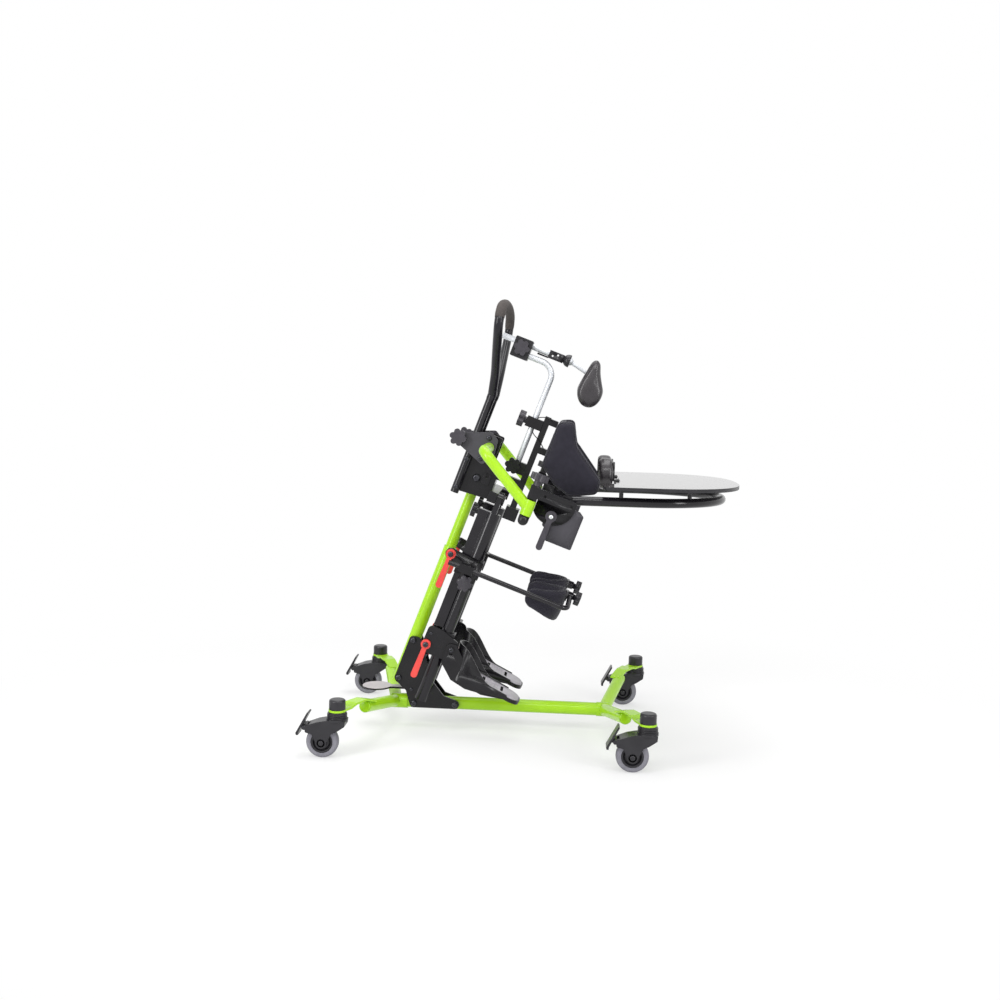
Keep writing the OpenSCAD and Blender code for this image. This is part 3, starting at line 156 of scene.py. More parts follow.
def new_finish(name, colour, sockets):
    """A material, its tree, its shader with the sockets that stay the same, and its coordinates."""
    made = bpy.data.materials.new(name)
    made.use_nodes = True
    tree = made.node_tree
    shader = tree.nodes["Principled BSDF"]
    shader.inputs["Base Color"].default_value = linear(colour)
    for socket, value in sockets.items():
        shader.inputs[socket].default_value = value
    return made, tree, shader, add_node(tree, "ShaderNodeTexCoord").outputs["Object"]


def two_tones(tree, shader, coords, tones, rough, patch):
    """Patches of two close tones and two roughnesses, as wear leaves them, in millimetres."""
    noise = add_node(tree, "ShaderNodeTexNoise", {"Scale": 1000 / patch, "Detail": 4.0},
                     {"Vector": coords})
    step = add_node(tree, "ShaderNodeMapRange", {"From Min": 0.35, "From Max": 0.65},
                    {"Value": noise.outputs["Fac"]})
    tone = add_node(tree, "ShaderNodeMix", {6: linear(tones[0]), 7: linear(tones[1])},
                    {0: step.outputs[0]}, data_type="RGBA")
    tree.links.new(tone.outputs[2], shader.inputs["Base Color"])
    gloss = add_node(tree, "ShaderNodeMapRange", {"To Min": rough[0], "To Max": rough[1]},
                     {"Value": noise.outputs["Fac"]})
    tree.links.new(gloss.outputs[0], shader.inputs["Roughness"])


def textured(name, colour, sockets, tones, rough, patch, grit, depth, edge, detail=2.0):
    """A material with a grain of that grit and depth, eased edges and two tones, in millimetres."""
    made, tree, shader, coords = new_finish(name, colour, sockets)
    eased = add_node(tree, "ShaderNodeBevel", {"Radius": edge / 1000}, samples=4)
    noise = add_node(tree, "ShaderNodeTexNoise", {"Scale": 1000 / grit, "Detail": detail},
                     {"Vector": coords})
    bump = add_node(tree, "ShaderNodeBump", {"Strength": 1.0, "Distance": depth / 1000},
                    {"Height": noise.outputs["Fac"], "Normal": eased.outputs[0]})
    tree.links.new(bump.outputs[0], shader.inputs["Normal"])
    two_tones(tree, shader, coords, tones, rough, patch)
    return made


def coat(finish, *names):
    """Puts a finish on pieces of the frame."""
    for name in names:
        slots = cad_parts[name].data.materials
        for i in range(len(slots)):
            slots[i] = finish
        if not slots:
            slots.append(finish)


# Gloss powder coat: an even colour, a faint orange peel of about 2 mm and a hard clear shine
lime_coat = textured("lime powder-coated steel", "#a0d31c",
                     {"Specular IOR Level": 0.25, "Coat Weight": 0.25, "Coat Roughness": 0.1},
                     tones=("#9cd01a", "#a6d822"), rough=(0.24, 0.34), patch=90,
                     grit=2.2, depth=0.06, edge=1.2)
coat(lime_coat, "base_spine", "rear_legs", "front_legs", "mast_sleeve", "mast_tube", "tray_arms")

# Leg plugs: caps in the frame's lime, pressed into the four open tube ends.
# Each has a domed face, a thin flange on the tube's rim and a spigot inside the tube.


def turned(profile, at, along, steps):
    """A closed surface turned about an axis through at, from points of radius and place on it."""
    made = bmesh.new()
    spin = Vector(along).to_track_quat("Z", "Y").to_matrix()
    rings = []
    for k in range(steps):
        a = 2 * math.pi * k / steps
        ring = [spin @ Vector((r * math.cos(a), r * math.sin(a), z)) for r, z in profile]
        rings.append([made.verts.new(Vector(at) + p) for p in ring])
    for k in range(steps):
        one, two = rings[k], rings[(k + 1) % steps]
        for i in range(len(profile) - 1):
            made.faces.new((one[i], two[i], two[i + 1], one[i + 1]))
    bmesh.ops.remove_doubles(made, verts=made.verts, dist=1e-6)
    bmesh.ops.recalc_face_normals(made, faces=made.faces)
    return made


def piece(name, made, finish, body, smooth=40):
    """Turns built geometry into a piece that rides on a body, in one finish and one slot."""
    mesh = bpy.data.meshes.new(name)
    made.to_mesh(mesh)
    made.free()
    mesh.materials.append(finish)
    mesh.shade_smooth()
    mesh.set_sharp_from_angle(angle=math.radians(smooth))
    done = bpy.data.objects.new(name, mesh)
    scene.collection.objects.link(done)
    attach(done, body)
    return done


def rounded(points, radius, steps=4):
    """A profile whose inner corners are rounded by that radius."""
    out = [Vector(points[0])]
    for a, b, c in zip(points, points[1:], points[2:]):
        a, b, c = Vector(a), Vector(b), Vector(c)
        r = min(radius, (a - b).length * 0.45, (c - b).length * 0.45)
        p, q = b + (a - b).normalized() * r, b + (c - b).normalized() * r
        for k in range(steps + 1):
            t = k / steps
            out.append(p * (1 - t) ** 2 + b * 2 * t * (1 - t) + q * t * t)
    return [tuple(p) for p in out + [Vector(points[-1])]]


# The solids are laid out from a zero that lies here, behind the middle of the whole object
middle_x = -0.05895
corners = (("rear_right", -1, -1), ("rear_left", -1, 1),
           ("front_right", 1, -1), ("front_left", 1, 1))
leg_root, leg_end = (0.262, 0, 0.062), (0.308, 0.186, 0.096)
plug = rounded([(0, 0.0032), (0.0128, 0.0026), (0.0146, 0.0002), (0.0112, 0.0002),
                (0.0112, -0.006), (0, -0.006)], 0.0016, steps=3)
for corner, along, across in corners:
    end = Vector((along * leg_end[0], across * leg_end[1], leg_end[2]))
    run = end - Vector((along * leg_root[0], across * leg_root[1], leg_root[2]))
    made = turned(plug, end + Vector((middle_x, 0, 0)), run, steps=40)
    piece("leg_plug_" + corner, made, lime_coat, "base")

# Casters: glass-filled nylon forks, caps and brake levers, on steel stems through the straps
# of the base. They are moulded with a fine texture that gives a dull, broad shine.
nylon = textured("glass-filled nylon", "#222125", {"Specular IOR Level": 0.4},
                 tones=("#201f23", "#28272b"), rough=(0.26, 0.38), patch=30,
                 grit=1.2, depth=0.04, edge=1.4, detail=3.0)
for corner, _, _ in corners:
    coat(nylon, "caster_fork_" + corner, "caster_brake_" + corner)
coat(nylon, "caster_caps")

# Caster wheels: a grey tread moulded round a black nylon hub with a dished web,
# a ring groove and a bearing cap on each side. The rubber is dull and scuffed by the floor.
tread_rubber = textured("grey thermoplastic rubber", "#7b7a82", {"Specular IOR Level": 0.35},
                        tones=("#74737b", "#828189"), rough=(0.5, 0.66), patch=20,
                        grit=1.6, depth=0.06, edge=1.0, detail=3.0)
stem_x, stem_y, trail, wheel_r, fork_y = 0.3545, 0.28, 0.033, 0.0375, 0.021
tread_profile = rounded([(0.0255, -0.0125), (0.0335, -0.013), (wheel_r, -0.007), (wheel_r, 0.007),
                         (0.0335, 0.013), (0.0255, 0.0125), (0.0255, -0.0125)], 0.004)
hub_side = [(0.0042, 0.0128), (0.0115, 0.0128), (0.0125, 0.0085), (0.0165, 0.0075),
            (0.018, 0.0055), (0.0195, 0.0075), (0.0205, 0.0108), (0.0254, 0.0115)]
hub_mirror = [(r, -z) for r, z in hub_side]
hub_profile = rounded(hub_mirror + hub_side[::-1] + hub_mirror[:1], 0.001, steps=2)
cap_profile = rounded([(0, 0.0016), (0.0052, 0.0014), (0.0064, 0), (0.0088, -0.0002),
                       (0.0096, 0.001), (0.0104, 0), (0, 0)], 0.0006, steps=2)
for corner, along, across in corners:
    hub = (middle_x + along * stem_x - trail, across * stem_y, wheel_r)
    wheel = "wheel_" + corner
    made = turned(tread_profile, hub, (0, 1, 0), steps=72)
    tread = piece("wheel_tread_" + corner, made, tread_rubber, wheel)
    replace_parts(tread, "caster_wheel_" + corner)
    made = turned(hub_profile, hub, (0, 1, 0), steps=56)
    piece("wheel_hub_" + corner, made, nylon, wheel)
    for s, mark in ((-1, "r"), (1, "l")):
        made = turned(cap_profile, (hub[0], hub[1] + s * fork_y, hub[2]), (0, s, 0), steps=40)
        piece(f"axle_cap_{corner}_{mark}", made, nylon, "fork_" + corner)

# Base plates: two laser-cut steel plates, clamped on the spine tube and on the column's sleeve
# by four button-head screws a side. Their black powder coat has a satin, slightly sandy skin.
black_coat = textured("black powder-coated steel", "#141316", {"Specular IOR Level": 0.32},
                      tones=("#121114", "#19181b"), rough=(0.18, 0.27), patch=70,
                      grit=1.5, depth=0.04, edge=1.2)
coat(black_coat, "base_plates")

# Black-oxide screw steel: dark, smooth and a little oily, so that the rims and sockets glint
screw_steel = textured("black-oxide screw steel", "#404045", {"Metallic": 0.85},
                       tones=("#3c3c41", "#48484d"), rough=(0.2, 0.3), patch=6,
                       grit=0.8, depth=0.02, edge=0.6)


def new_tree(name, start, sizes, result):
    """An empty tree of geometry nodes, with its inputs: a start, some sizes and a finish."""
    tree = bpy.data.node_groups.new(name, "GeometryNodeTree")
    tree.interface.new_socket(start, in_out="INPUT", socket_type="NodeSocketGeometry")
    for size in sizes:
        tree.interface.new_socket(size, in_out="INPUT", socket_type="NodeSocketFloat")
    tree.interface.new_socket("Finish", in_out="INPUT", socket_type="NodeSocketMaterial")
    tree.interface.new_socket(result, in_out="OUTPUT", socket_type="NodeSocketGeometry")
    return tree


def end_tree(tree, geometry, finish, result):
    """Ends a tree: what it made becomes plain geometry in its finish."""
    real = add_node(tree, "GeometryNodeRealizeInstances", links={"Geometry": geometry})
    dressed = add_node(tree, "GeometryNodeSetMaterial",
                       links={"Geometry": real.outputs[0], "Material": finish})
    add_node(tree, "NodeGroupOutput", links={result: dressed.outputs[0]})


screws = new_tree("button_head_screws", "Points", ("Head radius", "Rim height", "Crown height",
                                                   "Socket radius", "Socket depth"), "Screws")
given = add_node(screws, "NodeGroupInput").outputs
rim = add_node(screws, "GeometryNodeMeshCylinder",
               {"Vertices": 28, "Side Segments": 1, "Fill Segments": 1},
               {"Radius": given["Head radius"], "Depth": given["Rim height"]}, fill_type="NGON")
half = add_node(screws, "ShaderNodeMath", {1: 0.5}, {0: given["Rim height"]}, operation="MULTIPLY")
raised = add_node(screws, "ShaderNodeCombineXYZ", links={"Z": half.outputs[0]})
seated = add_node(screws, "GeometryNodeTransform",
                  links={"Geometry": rim.outputs["Mesh"], "Translation": raised.outputs[0]})
normal = add_node(screws, "GeometryNodeInputNormal")
facing = add_node(screws, "ShaderNodeSeparateXYZ", links={0: normal.outputs[0]})
top = add_node(screws, "ShaderNodeMath", {1: 0.9}, {0: facing.outputs["Z"]},
               operation="GREATER_THAN")
crown, chosen = seated.outputs[0], top.outputs[0]
for share, shrink in ((0.5, 0.9), (0.33, 0.84), (0.17, 0.8)):
    rise = add_node(screws, "ShaderNodeMath", {1: share}, {0: given["Crown height"]},
                    operation="MULTIPLY")
    pulled = add_node(screws, "GeometryNodeExtrudeMesh", {"Individual": False},
                      {"Mesh": crown, "Selection": chosen, "Offset Scale": rise.outputs[0]},
                      mode="FACES")
    drawn = add_node(screws, "GeometryNodeScaleElements", {"Scale": shrink},
                     {"Geometry": pulled.outputs["Mesh"], "Selection": pulled.outputs["Top"]},
                     domain="FACE")
    crown, chosen = drawn.outputs[0], pulled.outputs["Top"]
bit = add_node(screws, "GeometryNodeMeshCylinder",
               {"Vertices": 6, "Side Segments": 1, "Fill Segments": 1},
               {"Radius": given["Socket radius"], "Depth": given["Socket depth"]},
               fill_type="NGON")
high = add_node(screws, "ShaderNodeMath", operation="ADD",
                links={0: given["Rim height"], 1: given["Crown height"]})
raised = add_node(screws, "ShaderNodeCombineXYZ", links={"Z": high.outputs[0]})
bit = add_node(screws, "GeometryNodeTransform",
               links={"Geometry": bit.outputs["Mesh"], "Translation": raised.outputs[0]})
head = add_node(screws, "GeometryNodeMeshBoolean", operation="DIFFERENCE",
                links={"Mesh 1": crown, "Mesh 2": bit.outputs[0]})
axis = add_node(screws, "GeometryNodeInputNamedAttribute", {"Name": "axis"},
                data_type="FLOAT_VECTOR")
scale = add_node(screws, "GeometryNodeInputNamedAttribute", {"Name": "scale"}, data_type="FLOAT")
aimed = add_node(screws, "FunctionNodeAlignRotationToVector",
                 links={"Vector": axis.outputs["Attribute"]}, axis="Z")
placed = add_node(screws, "GeometryNodeInstanceOnPoints",
                  links={"Points": given["Points"], "Instance": head.outputs[0],
                         "Rotation": aimed.outputs[0], "Scale": scale.outputs["Attribute"]})
end_tree(screws, placed.outputs[0], given["Finish"], "Screws")


def settled(made):
    """The plain mesh of an object with its modifiers; the object itself goes."""
    graph = bpy.context.evaluated_depsgraph_get()
    mesh = bpy.data.meshes.new_from_object(made.evaluated_get(graph), depsgraph=graph)
    bpy.data.objects.remove(made)
    return mesh


def grown(name, tree, mesh, inputs, body):
    """Runs a node tree on a mesh and keeps what it makes as a plain piece on one body."""
    made = bpy.data.objects.new(name + "_start", mesh)
    scene.collection.objects.link(made)
    step = made.modifiers.new("tree", "NODES")
    step.node_group = tree
    for socket in tree.interface.items_tree:
        if socket.in_out == "INPUT" and socket.name in inputs:
            step[socket.identifier] = inputs[socket.name]
    done = bpy.data.objects.new(name, settled(made))
    scene.collection.objects.link(done)
    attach(done, body)
    return done


screw_r, screw_crown = 0.008, 0.0033


def screw_row(name, places, body, rim=0.0022):
    """Button-head screws at places, each a point, the way that it faces and its scale."""
    mesh = bpy.data.meshes.new(name)
    mesh.from_pydata([p[0] for p in places], [], [])
    ways = mesh.attributes.new("axis", "FLOAT_VECTOR", "POINT")
    ways.data.foreach_set("vector", [c for p in places for c in p[1]])
    scales = mesh.attributes.new("scale", "FLOAT", "POINT")
    scales.data.foreach_set("value", [p[2] for p in places])
    sizes = {"Head radius": screw_r, "Rim height": rim, "Crown height": screw_crown,
             "Socket radius": screw_r * 0.42, "Socket depth": screw_crown * 1.5,
             "Finish": screw_steel}
    return grown(name, screws, mesh, sizes, body)


column_lean, column_x = math.radians(20), -300


def leaning(v, y, u):
    """A point in metres from millimetres ahead of the column's axis, across, and up along it."""
    x = u * math.sin(column_lean) + v * math.cos(column_lean) + column_x
    z = u * math.cos(column_lean) - v * math.sin(column_lean)
    return Vector((x / 1000 + middle_x, y / 1000, z / 1000))


plate_face, spine_z = 0.0213, 0.062
sleeve_bolts_u, spine_bolts_x, pin_scale = (134, 236.5), (-0.215, -0.1115), 0.6
pedal_pin = Vector((middle_x - 0.222, 0, 0.097))
bolts = []
for s in (-1, 1):
    out = (0, s, 0)
    bolts += [(leaning(0, s * plate_face * 1000, u), out, 1) for u in sleeve_bolts_u]
    bolts += [((middle_x + x, s * plate_face, spine_z), out, 1) for x in spine_bolts_x]
    bolts += [(pedal_pin + Vector((0, s * plate_face, 0)), out, pin_scale)]
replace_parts(screw_row("plate_screws", bolts, "base"), "plate_bolts")

# Foot pedal behind the column: a pressed steel spoon with a neck, on a cross pin in the plates.
# Its faces that look up are a satin pale grey, and its edges and underside are black.
pedal_top_grey = textured("pale grey of the pedal's top", "#b4aeb0", {"Specular IOR Level": 0.5},
                      tones=("#afa9ab", "#bbb5b7"), rough=(0.34, 0.44), patch=50,
                      grit=1.8, depth=0.05, edge=1.0)
spoon_middle, spoon_half_l, spoon_half_w, neck_half_w = -0.091, 0.036, 0.0365, 0.0118
pedal_half_t, pedal_edge, spoon_steps, tread_facing = 0.0025, 0.0008, 40, 0.6
neck_run = [x / 1000 for x in range(-48, 1, 8)]


def skinned(made, rings):
    """Joins rings of points into a closed skin with a face at each end."""
    count = len(rings[0])
    for one, two in zip(rings, rings[1:]):
        for k in range(count):
            made.faces.new((one[k], one[(k + 1) % count], two[(k + 1) % count], two[k]))
    made.faces.new(list(reversed(rings[0])))
    made.faces.new(rings[-1])
    bmesh.ops.recalc_face_normals(made, faces=made.faces)


def pedal_half_width(x):
    """Half the pedal's width at a distance from its pin: an ellipse that runs into the neck."""
    past = min(1, abs(x - spoon_middle) / spoon_half_l)
    spoon = spoon_half_w * math.sqrt(1 - past * past)
    return spoon if x < spoon_middle else (spoon ** 4 + neck_half_w ** 4) ** 0.25


def pedal_plate(keep):
    """The pedal's plate with eased edges, of which a test keeps faces."""
    made = bmesh.new()
    run = [spoon_middle - spoon_half_l * math.cos(math.pi * k / spoon_steps)
           for k in range(spoon_steps + 1)]
    run += neck_run
    outline = [(x, -pedal_half_width(x)) for x in run]
    outline += [(x, pedal_half_width(x)) for x in reversed(run[1:])]
    rings = []
    for z, inset in ((-pedal_half_t, pedal_edge), (-pedal_half_t + pedal_edge, 0),
                     (pedal_half_t - pedal_edge, 0), (pedal_half_t, pedal_edge)):
        shrink = 1 - inset / spoon_half_w
        rings.append([made.verts.new(pedal_pin + Vector((spoon_middle + (x - spoon_middle) * shrink,
                                                         y * shrink, z))) for x, y in outline])
    skinned(made, rings)
    made.normal_update()
    bmesh.ops.delete(made, geom=[f for f in made.faces if not keep(f)], context="FACES")
    return made


made = pedal_plate(lambda f: f.normal.z > tread_facing)
tread = piece("pedal_tread", made, pedal_top_grey, "pedal")
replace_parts(tread, "foot_pedal")
made = pedal_plate(lambda f: f.normal.z <= tread_facing)
piece("pedal_rim", made, black_coat, "pedal")
pedal_hub = rounded([(0.0036, -0.0158), (0.007, -0.0158), (0.007, 0.0158), (0.0036, 0.0158),
                     (0.0036, -0.0158)], 0.0006, steps=2)
made = turned(pedal_hub, pedal_pin, (0, 1, 0), steps=32)
piece("pedal_hub", made, black_coat, "pedal")

# Head of the column: welded cheeks and a hip beam that tilt on the column's barrel,
# and three-cornered side plates on spacers. Screws hold the spacers and the handle's stems.
coat(black_coat, "head_frame")
# Satin powder coat: a duller black, painted lighter than the frame's black as painted light on the
# flat plates
lit_satin_coat = textured("satin black steel painted lighter for light", "#38363d", {"Specular IOR Level": 0.5},
                      tones=("#353339", "#3d3b42"), rough=(0.42, 0.54), patch=60,
                      grit=1.6, depth=0.06, edge=1.2)
coat(lit_satin_coat, "side_plates")
side_plate_y, cheek_y, barrel_y, barrel_u, stem_v = 70, 62.9, 43.4, 678.5, -38
spacer_screws, stem_screws_u = ((-5, 782), (-7, 728)), (715, 642)
spots = []
for s in (-1, 1):
    out = (0, s, 0)
    spots += [(leaning(v, s * side_plate_y, u), out, 0.8) for v, u in spacer_screws]
    spots += [(leaning(stem_v, s * cheek_y, u), out, 0.75) for u in stem_screws_u]
screw_row("head_screws", spots, "frame")
pivots = [(leaning(0, s * barrel_y, barrel_u), (0, s, 0), 1.2) for s in (-1, 1)]
screw_row("pivot_screws", pivots, "mast", rim=0.0033)

# Push handle: one steel tube bent to a loop, coated gloss black, with a foam sleeve over the top.
# The loop's points are shares of its half width and height, as the tube bender would set them out.
# The gloss leaves thin bright lines along the bends.
gloss_coat = textured("gloss black powder-coated steel", "#151318", {"Specular IOR Level": 0.4},
                      tones=("#141217", "#1b191e"), rough=(0.13, 0.2), patch=80,
                      grit=2.5, depth=0.05, edge=0.8)


def smooth_path(points, steps):
    """Points of a smooth curve through a list of points."""
    p = [np.array(q, float) for q in points]
    out = []
    for i in range(len(p) - 1):
        a, b, c, d = p[max(i - 1, 0)], p[i], p[i + 1], p[min(i + 2, len(p) - 1)]
        for k in range(steps):
            t = k / steps
            out.append(0.5 * (2 * b + (c - a) * t + (2 * a - 5 * b + 4 * c - d) * t * t
                              + (3 * b - a - 3 * c + d) * t ** 3))
    return out + [p[-1]]


def swept(path, radii, sides=28):
    """A closed tube along a path, with a radius for each point."""
    made = bmesh.new()
    path = [Vector(p) for p in path]
    rings, up = [], None
    for i, p in enumerate(path):
        run = (path[min(i + 1, len(path) - 1)] - path[max(i - 1, 0)]).normalized()
        up = run.orthogonal() if up is None else up - run * up.dot(run)
        up.normalize()
        side = run.cross(up)
        rings.append([made.verts.new(p + radii[i] * (up * math.cos(a) + side * math.sin(a)))
                      for a in (2 * math.pi * k / sides for k in range(sides))])
    skinned(made, rings)
    return made


def drawn_in(radius, count, by, over):
    """A radius for each of a number of points, drawn in at both ends over that many points."""
    return [radius - by * max(0, 1 - min(i, count - 1 - i) / over) for i in range(count)]


stem_side, stem_foot, stem_top, cuff_foot = 53.3, 627, 882, 868
loop_foot, loop_h, loop_half_w, loop_tilt = 892, 208, 192, math.radians(13.5)
loop_steps, stem_steps, cuff_steps, foam_from = 8, 8, 3, 34
loop_shares = ((0.42, 0.18), (0.61, 0.37), (0.81, 0.56), (0.96, 0.75), (0.83, 0.92), (0.42, 0.985))
half_loop = [(stem_v - loop_h * h * math.sin(loop_tilt), loop_half_w * w,
              loop_foot + loop_h * h * math.cos(loop_tilt)) for w, h in loop_shares]
crest = (stem_v - loop_h * math.sin(loop_tilt), 0, loop_foot + loop_h * math.cos(loop_tilt))
loop = [(v, -y, u) for v, y, u in half_loop] + [crest] + half_loop[::-1]
bent = smooth_path([(stem_v, -stem_side, stem_top)] + loop + [(stem_v, stem_side, stem_top)],
                   loop_steps)


def with_stems(foot, steps):
    """The loop's points with a straight stem on each side, from a foot up to the bend."""
    stem = [(stem_v, -stem_side, foot + (stem_top - foot) * k / steps) for k in range(steps)]
    whole = stem + [tuple(p) for p in bent] + [(v, -y, u) for v, y, u in reversed(stem)]
    return [leaning(*p) for p in whole]


tube_r, sleeve_r, foam_r = 0.00998, 0.0108, 0.0119
tube = with_stems(stem_foot, stem_steps)
made = swept(tube, [tube_r] * len(tube))
handle = piece("handle_tube", made, gloss_coat, "frame")
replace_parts(handle, "push_handle")

# Vinyl sleeve: dipped PVC with a wet shine that follows the whole loop
vinyl = textured("black dipped PVC", "#17151a", {"Specular IOR Level": 0.32},
                 tones=("#151318", "#1d1b21"), rough=(0.16, 0.25), patch=50,
                 grit=4.0, depth=0.06, edge=0.8)
cuffed = with_stems(cuff_foot, cuff_steps)
made = swept(cuffed, drawn_in(sleeve_r, len(cuffed), by=0.0006, over=1))
sleeve = piece("handle_sleeve", made, vinyl, "frame", smooth=60)
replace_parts(sleeve, "handle_grip")

# Foam grip: closed-cell rubber foam, dull and finely pitted, pushed on over the top of the loop
grip_foam = textured("closed-cell rubber foam", "#4a4543", {"Specular IOR Level": 0.25},
                     tones=("#464140", "#524d4a"), rough=(0.75, 0.9), patch=12,
                     grit=1.1, depth=0.22, edge=1.0, detail=3.0)
over = [leaning(*p) for p in bent[foam_from:-foam_from]]
made = swept(over, drawn_in(foam_r, len(over), by=0.0007, over=1.5))
piece("handle_foam", made, grip_foam, "frame", smooth=60)

# Knobs: plain nylon grips with round lobes, moulded on steel studs that clamp the tilt, the tray
# and the head support. Handling has left them satin, and the soft shine shows the lobes.
knob_nylon = textured("satin moulded nylon", "#343138", {"Specular IOR Level": 0.5},
                      tones=("#312e35", "#3a373e"), rough=(0.34, 0.46), patch=20,
                      grit=1.2, depth=0.06, edge=1.6, detail=3.0)
coat(knob_nylon, "star_knobs", "post_knob", "block_knob", "tray_knob_right", "tray_knob_left")

# Trunk bar: a flat steel bar on a bracket, coated black as the frame is.
# It has a receiver and a clamp for the head post, and the mounts of the pads.
coat(black_coat, "trunk_bar")

# Back pad and hip wings: foam on shells under a stretch-knitted cover, piped along the seams.
# The covers are drawn tight, so the pads are stuffed by a short cloth run and held at the back.
# Knit: a dull navy with a faint sheen. Its rows are about 1 mm apart, drawn at 1.6 mm to show.
knit_row, bands_per_scale = 0.0016, 3.2
knit_scale = 1 / knit_row / bands_per_scale
knit, tree, shader, coords = new_finish("knitted polyester cover", "#211f29",
                                        {"Sheen Weight": 0.2, "Sheen Roughness": 0.45,
                                         "Specular IOR Level": 0.25})
waves = [add_node(tree, "ShaderNodeTexWave",
                  {"Scale": knit_scale, "Distortion": bend, "Detail": 1.0}, {"Vector": coords},
                  bands_direction=way) for way, bend in (("DIAGONAL", 1.2), ("Z", 0.8))]
weave = add_node(tree, "ShaderNodeMath", operation="MULTIPLY",
                 links={i: wave.outputs["Fac"] for i, wave in enumerate(waves)})
raised = add_node(tree, "ShaderNodeBump", {"Strength": 0.5, "Distance": 0.0003},
                  {"Height": weave.outputs[0]})
tree.links.new(raised.outputs[0], shader.inputs["Normal"])
two_tones(tree, shader, coords, tones=("#1f1d27", "#26242e"), rough=(0.72, 0.88), patch=14)

# Piping: a woven cord, a shade lighter and smoother than the knit, so that the seams show
piping_cord = textured("woven polyester piping", "#25232d",
                       {"Sheen Weight": 0.2, "Specular IOR Level": 0.3},
                       tones=("#23212b", "#2b2933"), rough=(0.55, 0.7), patch=10,
                       grit=1.4, depth=0.2, edge=0.8)
piping = new_tree("piped_seam", "Seam", ("Cord radius", "Step"), "Piping")
given = add_node(piping, "NodeGroupInput").outputs
line = add_node(piping, "GeometryNodeMeshToCurve", links={"Mesh": given["Seam"]})
line = add_node(piping, "GeometryNodeResampleCurve", mode="LENGTH",
                links={"Curve": line.outputs[0], "Length": given["Step"]})
ring = add_node(piping, "GeometryNodeCurvePrimitiveCircle", {"Resolution": 10},
                {"Radius": given["Cord radius"]})
cord = add_node(piping, "GeometryNodeCurveToMesh",
                links={"Curve": line.outputs[0], "Profile Curve": ring.outputs[0]})
end_tree(piping, cord.outputs[0], given["Finish"], "Piping")


def piped(name, seam, radius, body):
    """A piping cord of that radius along a seam."""
    sizes = {"Cord radius": radius, "Step": 0.003, "Finish": piping_cord}
    grown(name, piping, seam, sizes, body)


def copied(node, keep):
    """The faces of a frame piece that a test keeps, merged into closed geometry."""
    made = bmesh.new()
    made.from_mesh(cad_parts[node].data)
    bmesh.ops.remove_doubles(made, verts=made.verts, dist=1e-5)
    bmesh.ops.delete(made, geom=[f for f in made.faces if not keep(f)], context="FACES")
    return made


def stuffed(name, made, voxel, start, cap, held):
    """A stuffed cover: remeshed and taken in by start, then puffed out by cap at most.

    A short cloth run puffs it, and the places where the test held is true stay as they are.
    """
    last_frame = 20
    mesh = bpy.data.meshes.new(name)
    made.to_mesh(mesh)
    made.free()
    shape = bpy.data.objects.new(name + "_form", mesh)
    scene.collection.objects.link(shape)
    step = shape.modifiers.new("voxels", "REMESH")
    step.mode, step.voxel_size = "VOXEL", voxel
    mesh = settled(shape)
    made = bmesh.new()
    made.from_mesh(mesh)
    for _ in range(2):
        bmesh.ops.smooth_vert(made, verts=made.verts, factor=0.5,
                              use_axis_x=True, use_axis_y=True, use_axis_z=True)
    made.normal_update()
    for vert in made.verts:
        vert.co -= vert.normal * start
    made.to_mesh(mesh)
    made.free()
    count = len(mesh.vertices)
    before = np.empty(count * 3, np.float32)
    mesh.vertices.foreach_get("co", before)
    shape = bpy.data.objects.new(name + "_cover", mesh)
    scene.collection.objects.link(shape)
    group = shape.vertex_groups.new(name="held")
    group.add([v.index for v in mesh.vertices if held(v.co)], 1.0, "REPLACE")
    cloth = shape.modifiers.new("cloth", "CLOTH")
    cover = cloth.settings
    cover.quality, cover.mass = 6, 0.25
    cover.tension_stiffness = cover.compression_stiffness = 14
    cover.shear_stiffness, cover.bending_stiffness = 6, 0.6
    cover.use_pressure, cover.uniform_pressure_force = True, 4
    cover.effector_weights.gravity = 0
    cover.vertex_group_mass = "held"
    cloth.point_cache.frame_start, cloth.point_cache.frame_end = 1, last_frame
    for number in range(1, last_frame + 1):
        scene.frame_set(number)
    puffed = settled(shape)
    after = np.empty(count * 3, np.float32)
    puffed.vertices.foreach_get("co", after)
    move = (after - before).reshape(-1, 3)
    far = np.maximum(np.linalg.norm(move, axis=1), 1e-9)
    move *= np.minimum(1, cap / far)[:, None]
    mesh = puffed
    mesh.vertices.foreach_set("co", before + move.ravel())
    scene.frame_set(1)
    shape = bpy.data.objects.new(name + "_round", mesh)
    scene.collection.objects.link(shape)
    step = shape.modifiers.new("round", "SUBSURF")
    step.levels = step.render_levels = 1
    return settled(shape)


def pulled_in(mesh, line, depth, width):
    """Draws a cover in along a seam."""
    seam = KDTree(len(line.vertices))
    for i, vert in enumerate(line.vertices):
        seam.insert(vert.co, i)
    seam.balance()
    made = bmesh.new()
    made.from_mesh(mesh)
    made.normal_update()
    for vert in made.verts:
        off = seam.find(vert.co)[2] / width
        vert.co -= vert.normal * depth * math.exp(-off * off)
    made.to_mesh(mesh)
    made.free()


